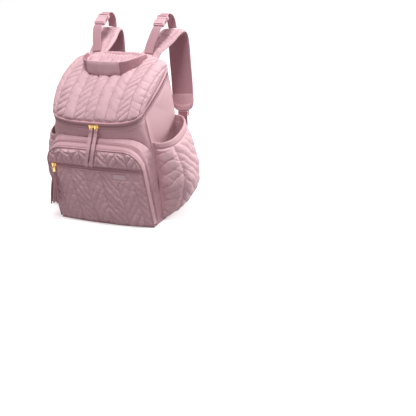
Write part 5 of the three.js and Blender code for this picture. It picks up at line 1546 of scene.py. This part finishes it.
for side, mirror in SIDES:
    webbing("strap", side, mirror, "bag", dark_webbing, "strap_webbing", LOWER_WEB, 260, 151)
    _, line = webbing("clip", side, mirror, "bag", webbing_cloth, "rose_nylon", CLIP_WEB, 150, 153)
    side_v, normal_v = path_frame(line, ACROSS_BAG)
    part = slice(104, 128)
    lines = [line[part] + normal_v[part] * face + side_v[part] * off
             for off in (-9.5, 9.5) for face in (-0.95, 0.95)]
    cross = [np.linspace(lines[k][end], lines[k + 2][end], 8) for k in (0, 1) for end in (0, -1)]
    stitches(f"clip_web_stitches_{side}", lines + cross, "bag", "rose_nylon", 2.2, 1.0, 0.28, mirror, True)
    u, v = net(40, 44)
    up = TAB_TALL * v
    past = np.maximum(0, np.maximum(TAB_CORNER - up, up - (TAB_TALL - TAB_CORNER)))
    half = TAB_HALF - TAB_CORNER + np.sqrt(np.maximum(0, TAB_CORNER ** 2 - past ** 2))
    bulge = 0.3 * np.cos(u * math.pi / 2) * np.sin(math.pi * v)
    tab = stack(TAB_X - u * half, BACK_Y + GAP + TAB_THICK + bulge, TAB_LOW + up)
    obj = slab(f"anchor_tab_{side}", tab, tab * [1, 0, 1] + [0, BACK_Y + GAP, 0], "bag", webbing_cloth,
               "rose_nylon", f"webbing_anchor_{side}", mirror)
    as_sheet(obj, tab)
    box = np.array([(-1, 3), (1, 3), (1, 27), (-1, 27)]) * [WEB_W / 2, 1] + [TAB_X, TAB_LOW]
    corners = stack(box[:, 0], BACK_Y + GAP + 3.5, box[:, 1])
    rows = [corners[list(pair)] for pair in ((0, 1), (1, 2), (2, 3), (3, 0), (0, 2), (1, 3))]
    stitches(f"anchor_stitches_{side}", rows, "bag", "rose_nylon", 2.4, 1.0, 0.3, mirror)

# %% Clip loops
for side, mirror in SIDES:
    loop, line = webbing("loop", side, mirror, None, webbing_cloth, "rose_nylon", LOOP_WEB, 170, 157)
    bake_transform(loop)
print("straps and webbings:", len(PIECES))

# %% [markdown]
# ## Hard pieces
# Buckles, adjusters, sliders, rings, tassel caps and the base board keep their solids' shape. A copy of
# each has its doubled points merged and its edges rounded by a bevel, because no moulded or cast edge is
# sharp.


# %% Hard pieces
def hard_piece(name, node_name, body, material, slot, bevel, segments=2, angle=35):
    """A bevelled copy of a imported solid."""
    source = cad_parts[node_name]
    mesh = source.data.copy()
    mesh.transform(source.matrix_world)
    mesh.materials.clear()
    mesh.materials.append(material)
    obj = bpy.data.objects.new(name, mesh)
    bpy.context.scene.collection.objects.link(obj)
    work = bmesh.new()
    work.from_mesh(mesh)
    bmesh.ops.remove_doubles(work, verts=work.verts, dist=1e-6)
    bmesh.ops.dissolve_limit(work, angle_limit=math.radians(1), verts=work.verts, edges=work.edges)
    work.to_mesh(mesh)
    work.free()
    mesh.polygons.foreach_set("use_smooth", np.ones(len(mesh.polygons), bool))
    rounding = obj.modifiers.new("rounding", "BEVEL")
    rounding.width = bevel * MM
    rounding.segments = segments
    rounding.limit_method = "ANGLE"
    rounding.angle_limit = math.radians(angle)
    rounding.harden_normals = True
    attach(obj, body)
    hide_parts(node_name)
    PIECES[name] = obj
    return obj


PLASTIC, METAL = (buckle_plastic, "buckle_plastic"), (gold, "gold_metal")
POCKET_ZIPS = (("u_zip", "pocket"), ("level_zip", "panel"))
for side in ("right", "left"):
    hard_piece(f"clip_socket_{side}", f"buckle_socket_{side}", "bag", *PLASTIC, 0.8, 3)
    hard_piece(f"clip_plug_{side}", f"buckle_plug_{side}", f"clip_{side}", *PLASTIC, 0.7, 3)
    hard_piece(f"ladder_{side}", f"strap_adjuster_{side}", "bag", *PLASTIC, 0.6)
    hard_piece(f"zip_slider_{side}", f"main_slider_{side}", f"main_slider_{side}", *METAL, 0.45, 3)
    hard_piece(f"zip_ring_{side}", f"main_ring_{side}", f"main_pull_{side}", *METAL, 0.4, 3)
for name, place in POCKET_ZIPS:
    hard_piece(f"{name}_slider", f"{place}_slider", f"{place}_slider", *METAL, 0.45, 3)
for name, place in POCKET_ZIPS:
    hard_piece(f"{name}_tassel_cap", f"{place}_tassel_cap", f"{place}_tassel", *METAL, 0.3, 3, 40)
hard_piece("stiff_base", "base_board", "bag", board_plastic, "stiff_board", 0.5)
print("hard pieces:", len(PIECES))

# %% [markdown]
# ## Pulls and tassels
# The long pulls are two layers of leather look, stitched together along their edges, folded over the ring
# at the top and cut wider at the tip. The tassels are bundles of narrow strands under a cap.

# %% Long pulls
front = rim_point(np.array(0.0))
EYE_OUT, RING_WIRE, RING_TALL = 3.4 + 1.2, 1.3, 8.6
PULL_LONG, PULL_WIDE, PULL_TIP, PULL_EDGE = 90.0, 10.2, 13.4, 0.36
PULL_MIDDLE, PULL_APART, PULL_DRIFT, PULL_MEAN = 9.0, 7.5, 17.0, 10.6
eye_y = front[1] - 0.9 - EYE_OUT
pull_start = front[2] + RING_WIRE / 2 - RING_TALL - 3 * GAP
pull_low = pull_start - PULL_LONG
pocket_edge = panel_point(0.0, np.array(P_TOP), PANEL_INSET + 2.6)[1]
for side, sign, seed in (("left", -1, 161), ("right", 1, 167)):
    x = PULL_MIDDLE + sign * PULL_APART
    depths = [(0, eye_y), (0.12, eye_y - 0.6), (0.33, lerp(eye_y, pocket_edge, 0.55)),
              (0.53, pocket_edge - 0.6), (0.8, pocket_edge - 3.0), (1, pocket_edge - 2.6)]
    straight = [(x - PULL_DRIFT * s + 0.5 * (lerp(eye_y, depths[-1][1], s) - y), y,
                 lerp(pull_start, pull_low, s)) for s, y in depths]
    line = smooth_path(straight, 160)
    t = np.linspace(0, 1, 160)
    flare = np.clip((t - 0.86) / 0.09, 0, 1)
    point_in = np.clip((t - 0.955) / 0.045, 0, 1)
    width = lerp(PULL_WIDE, PULL_TIP, smooth(flare)) * (1 - 0.42 * point_in ** 1.6)
    thick = 1.9 + 1.2 * smooth((0.17 - t) / 0.02)
    # The crease values paint shade in the fold over the ring, and make the colour darker along both cut
    # edges.
    fold_line = 1.4 * np.clip(1 - np.abs(t - 0.175) / 0.012, 0, 1)
    cut_edge = 1.4 * (np.abs(np.cos((np.arange(30) + 0.5) * 2 * math.pi / 30)) > 0.9)
    body = f"main_pull_{side}"
    pull = sweep(f"pull_leather_{side}", band_rings(line, ACROSS_BAG, width, thick, 5, 30), body, leather,
                 "leather_look", body, crease=np.maximum(fold_line[:, None], cut_edge[None, :]))
    side_v, normal_v = path_frame(line, ACROSS_BAG)
    rows = []
    facing = np.sign((normal_v * [0, -1, 0]).sum(1)).mean()
    part = slice(4, 150)
    for off in (-PULL_EDGE, PULL_EDGE):
        for face in (-1, 1):
            rows.append(line[part] + side_v[part] * (off * width[part])[:, None]
                        + normal_v[part] * (face * (thick[part] / 2 + 0.02))[:, None])
    for at in (24, 27):
        lifted = line[at] + normal_v[at] * facing * (thick[at] / 2 + 0.05)
        rows.append(np.stack([lifted + side_v[at] * off * width[at] for off in (-PULL_EDGE, 0, PULL_EDGE)]))
    stitches(f"pull_stitches_{side}", rows, body, "leather_look", 1.9, 0.9, 0.2)


# %% Tassels
TASSEL_HALF, STRANDS, STRAND_SIDES = 8.5, 5, 12


def tassel(name, node_name, body, cap_node, along_x, drift, seed):
    """Five leather-look strands that fan out under the cap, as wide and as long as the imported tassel."""
    low, high = (np.array(c) / MM - [0, SHIFT_Y, 0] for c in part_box(node_name))
    cap_low, cap_high = (np.array(c) / MM - [0, SHIFT_Y, 0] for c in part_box(cap_node))
    top = np.array([(cap_low[0] + cap_high[0]) / 2, (cap_low[1] + cap_high[1]) / 2, high[2] + 1.5])
    across = np.array([1.0, 0, 0]) if along_x else np.array([0, 1.0, 0])
    level = 0 if along_x else 1
    rng = np.random.default_rng(seed)
    points, faces, uvs, count = [], [], [], 0
    for k in range(STRANDS):
        share = (k + 0.5) / STRANDS * 2 - 1
        end_z = low[2] + rng.uniform(0, 12) * (k % 3 > 0)
        t = np.linspace(0, 1, 34)
        fan = share * lerp(1.8, TASSEL_HALF, smooth(t * 1.3))
        sway = rng.uniform(-1.3, 1.3) * np.sin(t * math.pi)
        depth = (0.75 if k % 2 else -0.75) * smooth(t * 3)
        depth = depth + rng.uniform(-0.4, 0.4) * np.sin(t * math.pi * 1.3)
        line = top + across * (fan + sway)[:, None] + np.array([drift, 0, 0]) * t[:, None]
        line[:, 1 - level] += depth
        line[:, 2] = lerp(top[2], end_z, t)
        width = lerp(3.0, 4.6, smooth(t * 2))
        rings = band_rings(line, across, width, 1.25, 5, STRAND_SIDES)
        strand, strand_faces = beads(rings[None], count)
        points.append(strand)
        faces += strand_faces
        place = np.broadcast_arrays(np.arange(STRAND_SIDES)[None, :] * 0.8, (t * 90)[:, None])
        uvs.append(np.stack(place, -1).reshape(-1, 2) / UV_MM)
        count += len(strand)
    return add_mesh(name, np.concatenate(points), faces, body, tassel_leather, "leather_look", node_name,
                    np.concatenate(uvs))


tassel("level_zip_tassel", "panel_tassel", "panel_tassel", "panel_tassel_cap", True, -13.0, 171)
tassel("u_zip_tassel", "pocket_tassel", "pocket_tassel", "pocket_tassel_cap", False, -17.0, 173)
print("all pieces:", len(PIECES))

# %% [markdown]
# ## Stitch rows on the cloth
# The last threads follow the front pocket's seams: two rows on its front strip, one at each edge, and one
# row on its side, beside the zip.

# %% Seams
SEAMS = [("strip_seam_front", STRIP_FRONT + 1.6, "pocket_front", 0.96, 500, 0.75),
         ("strip_seam_zip", STRIP_ZIP - 1.6, "pocket_front", 0.96, 500, 0.75),
         ("gusset_seam", STRIP_REAR + 2.4, "bag", 0.97, 600, 0.55)]
for name, behind, body, reach, count, out in SEAMS:
    p = np.linspace(-reach, reach, count)
    stitches(name, [pocket_strip(p, behind + 0 * p, -out)], body, "rose_nylon", 2.8, 1.2, 0.26)
print("pieces with their seams:", len(PIECES))

# %% [markdown]
# ## Floor, light and the size of the bag
# The floor is plain and pale. One large light hangs nearly overhead and another stands behind and to the
# right, as in the photograph, where the lid and the far side are bright and the front is in its own shade.
# The room around them is a soft pink grey to the cloth, and white to the camera and to mirror-like rays, so
# that the background is white and the gold shows that same white.


# %% Stage
def straight_rays(tree):
    """1 for rays from the camera, off something shiny or through something clear, and 0 for others."""
    path = node(tree, "ShaderNodeLightPath")
    camera_or_shiny = math_node(tree, "MAXIMUM", path.outputs["Is Camera Ray"], path.outputs["Is Glossy Ray"])
    return math_node(tree, "MAXIMUM", camera_or_shiny, path.outputs["Is Transmission Ray"])


FLOOR_REACH, FLOOR_Z = 6.0, -0.0006
floor_mesh = bpy.data.meshes.new("floor")
corners = [(x * FLOOR_REACH, y * FLOOR_REACH, 0) for x, y in ((-1, -1), (1, -1), (1, 1), (-1, 1))]
floor_mesh.from_pydata(corners, [], [(0, 1, 2, 3)])
floor = bpy.data.objects.new("floor", floor_mesh)
bpy.context.scene.collection.objects.link(floor)
floor.location.z = FLOOR_Z
floor_material, floor_tree, floor_shader = new_material("pale_floor")
seen = straight_rays(floor_tree)
floor_color = mixed(floor_tree, (0.3, 0.3, 0.3, 1), (0.9, 0.9, 0.9, 1), seen)
floor_tree.links.new(floor_color, floor_shader.inputs["Base Color"])
floor_shader.inputs["Emission Color"].default_value = (1, 1, 1, 1)
glow = math_node(floor_tree, "MULTIPLY", seen, 0.5)
floor_tree.links.new(glow, floor_shader.inputs["Emission Strength"])
floor_shader.inputs["Roughness"].default_value = 0.9
floor_shader.inputs["Specular IOR Level"].default_value = 0.1
floor_mesh.materials.append(floor_material)
floor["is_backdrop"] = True


def area_light(name, at, target, size, power, color):
    """A square soft light at a place, aimed at a target."""
    data = bpy.data.lights.new(name, "AREA")
    data.size = size
    data.energy = power
    data.color = color
    obj = bpy.data.objects.new(name, data)
    bpy.context.scene.collection.objects.link(obj)
    direction = Vector(target) - Vector(at)
    obj.rotation_euler = direction.to_track_quat("-Z", "Y").to_euler()
    obj.location = at
    return obj


area_light("overhead", (0.45, -0.38, 2.6), (0, -0.02, 0.25), 0.7, 45, (1.0, 1.0, 1.0))
area_light("behind_right", (1.6, 1.5, 1.05), (0, 0, 0.25), 0.9, 36, (1.0, 0.99, 0.98))
world = bpy.data.worlds.new("soft_room")
bpy.context.scene.world = world
world.use_nodes = True
tree = world.node_tree
background = tree.nodes["Background"]
room = mixed(tree, (0.45, 0.36, 0.38, 1), (1, 1, 1, 1), straight_rays(tree))
tree.links.new(room, background.inputs["Color"])
background.inputs["Strength"].default_value = 1.0
bpy.context.scene.view_settings.view_transform = "Standard"

# %% Size and finish
low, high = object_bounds()
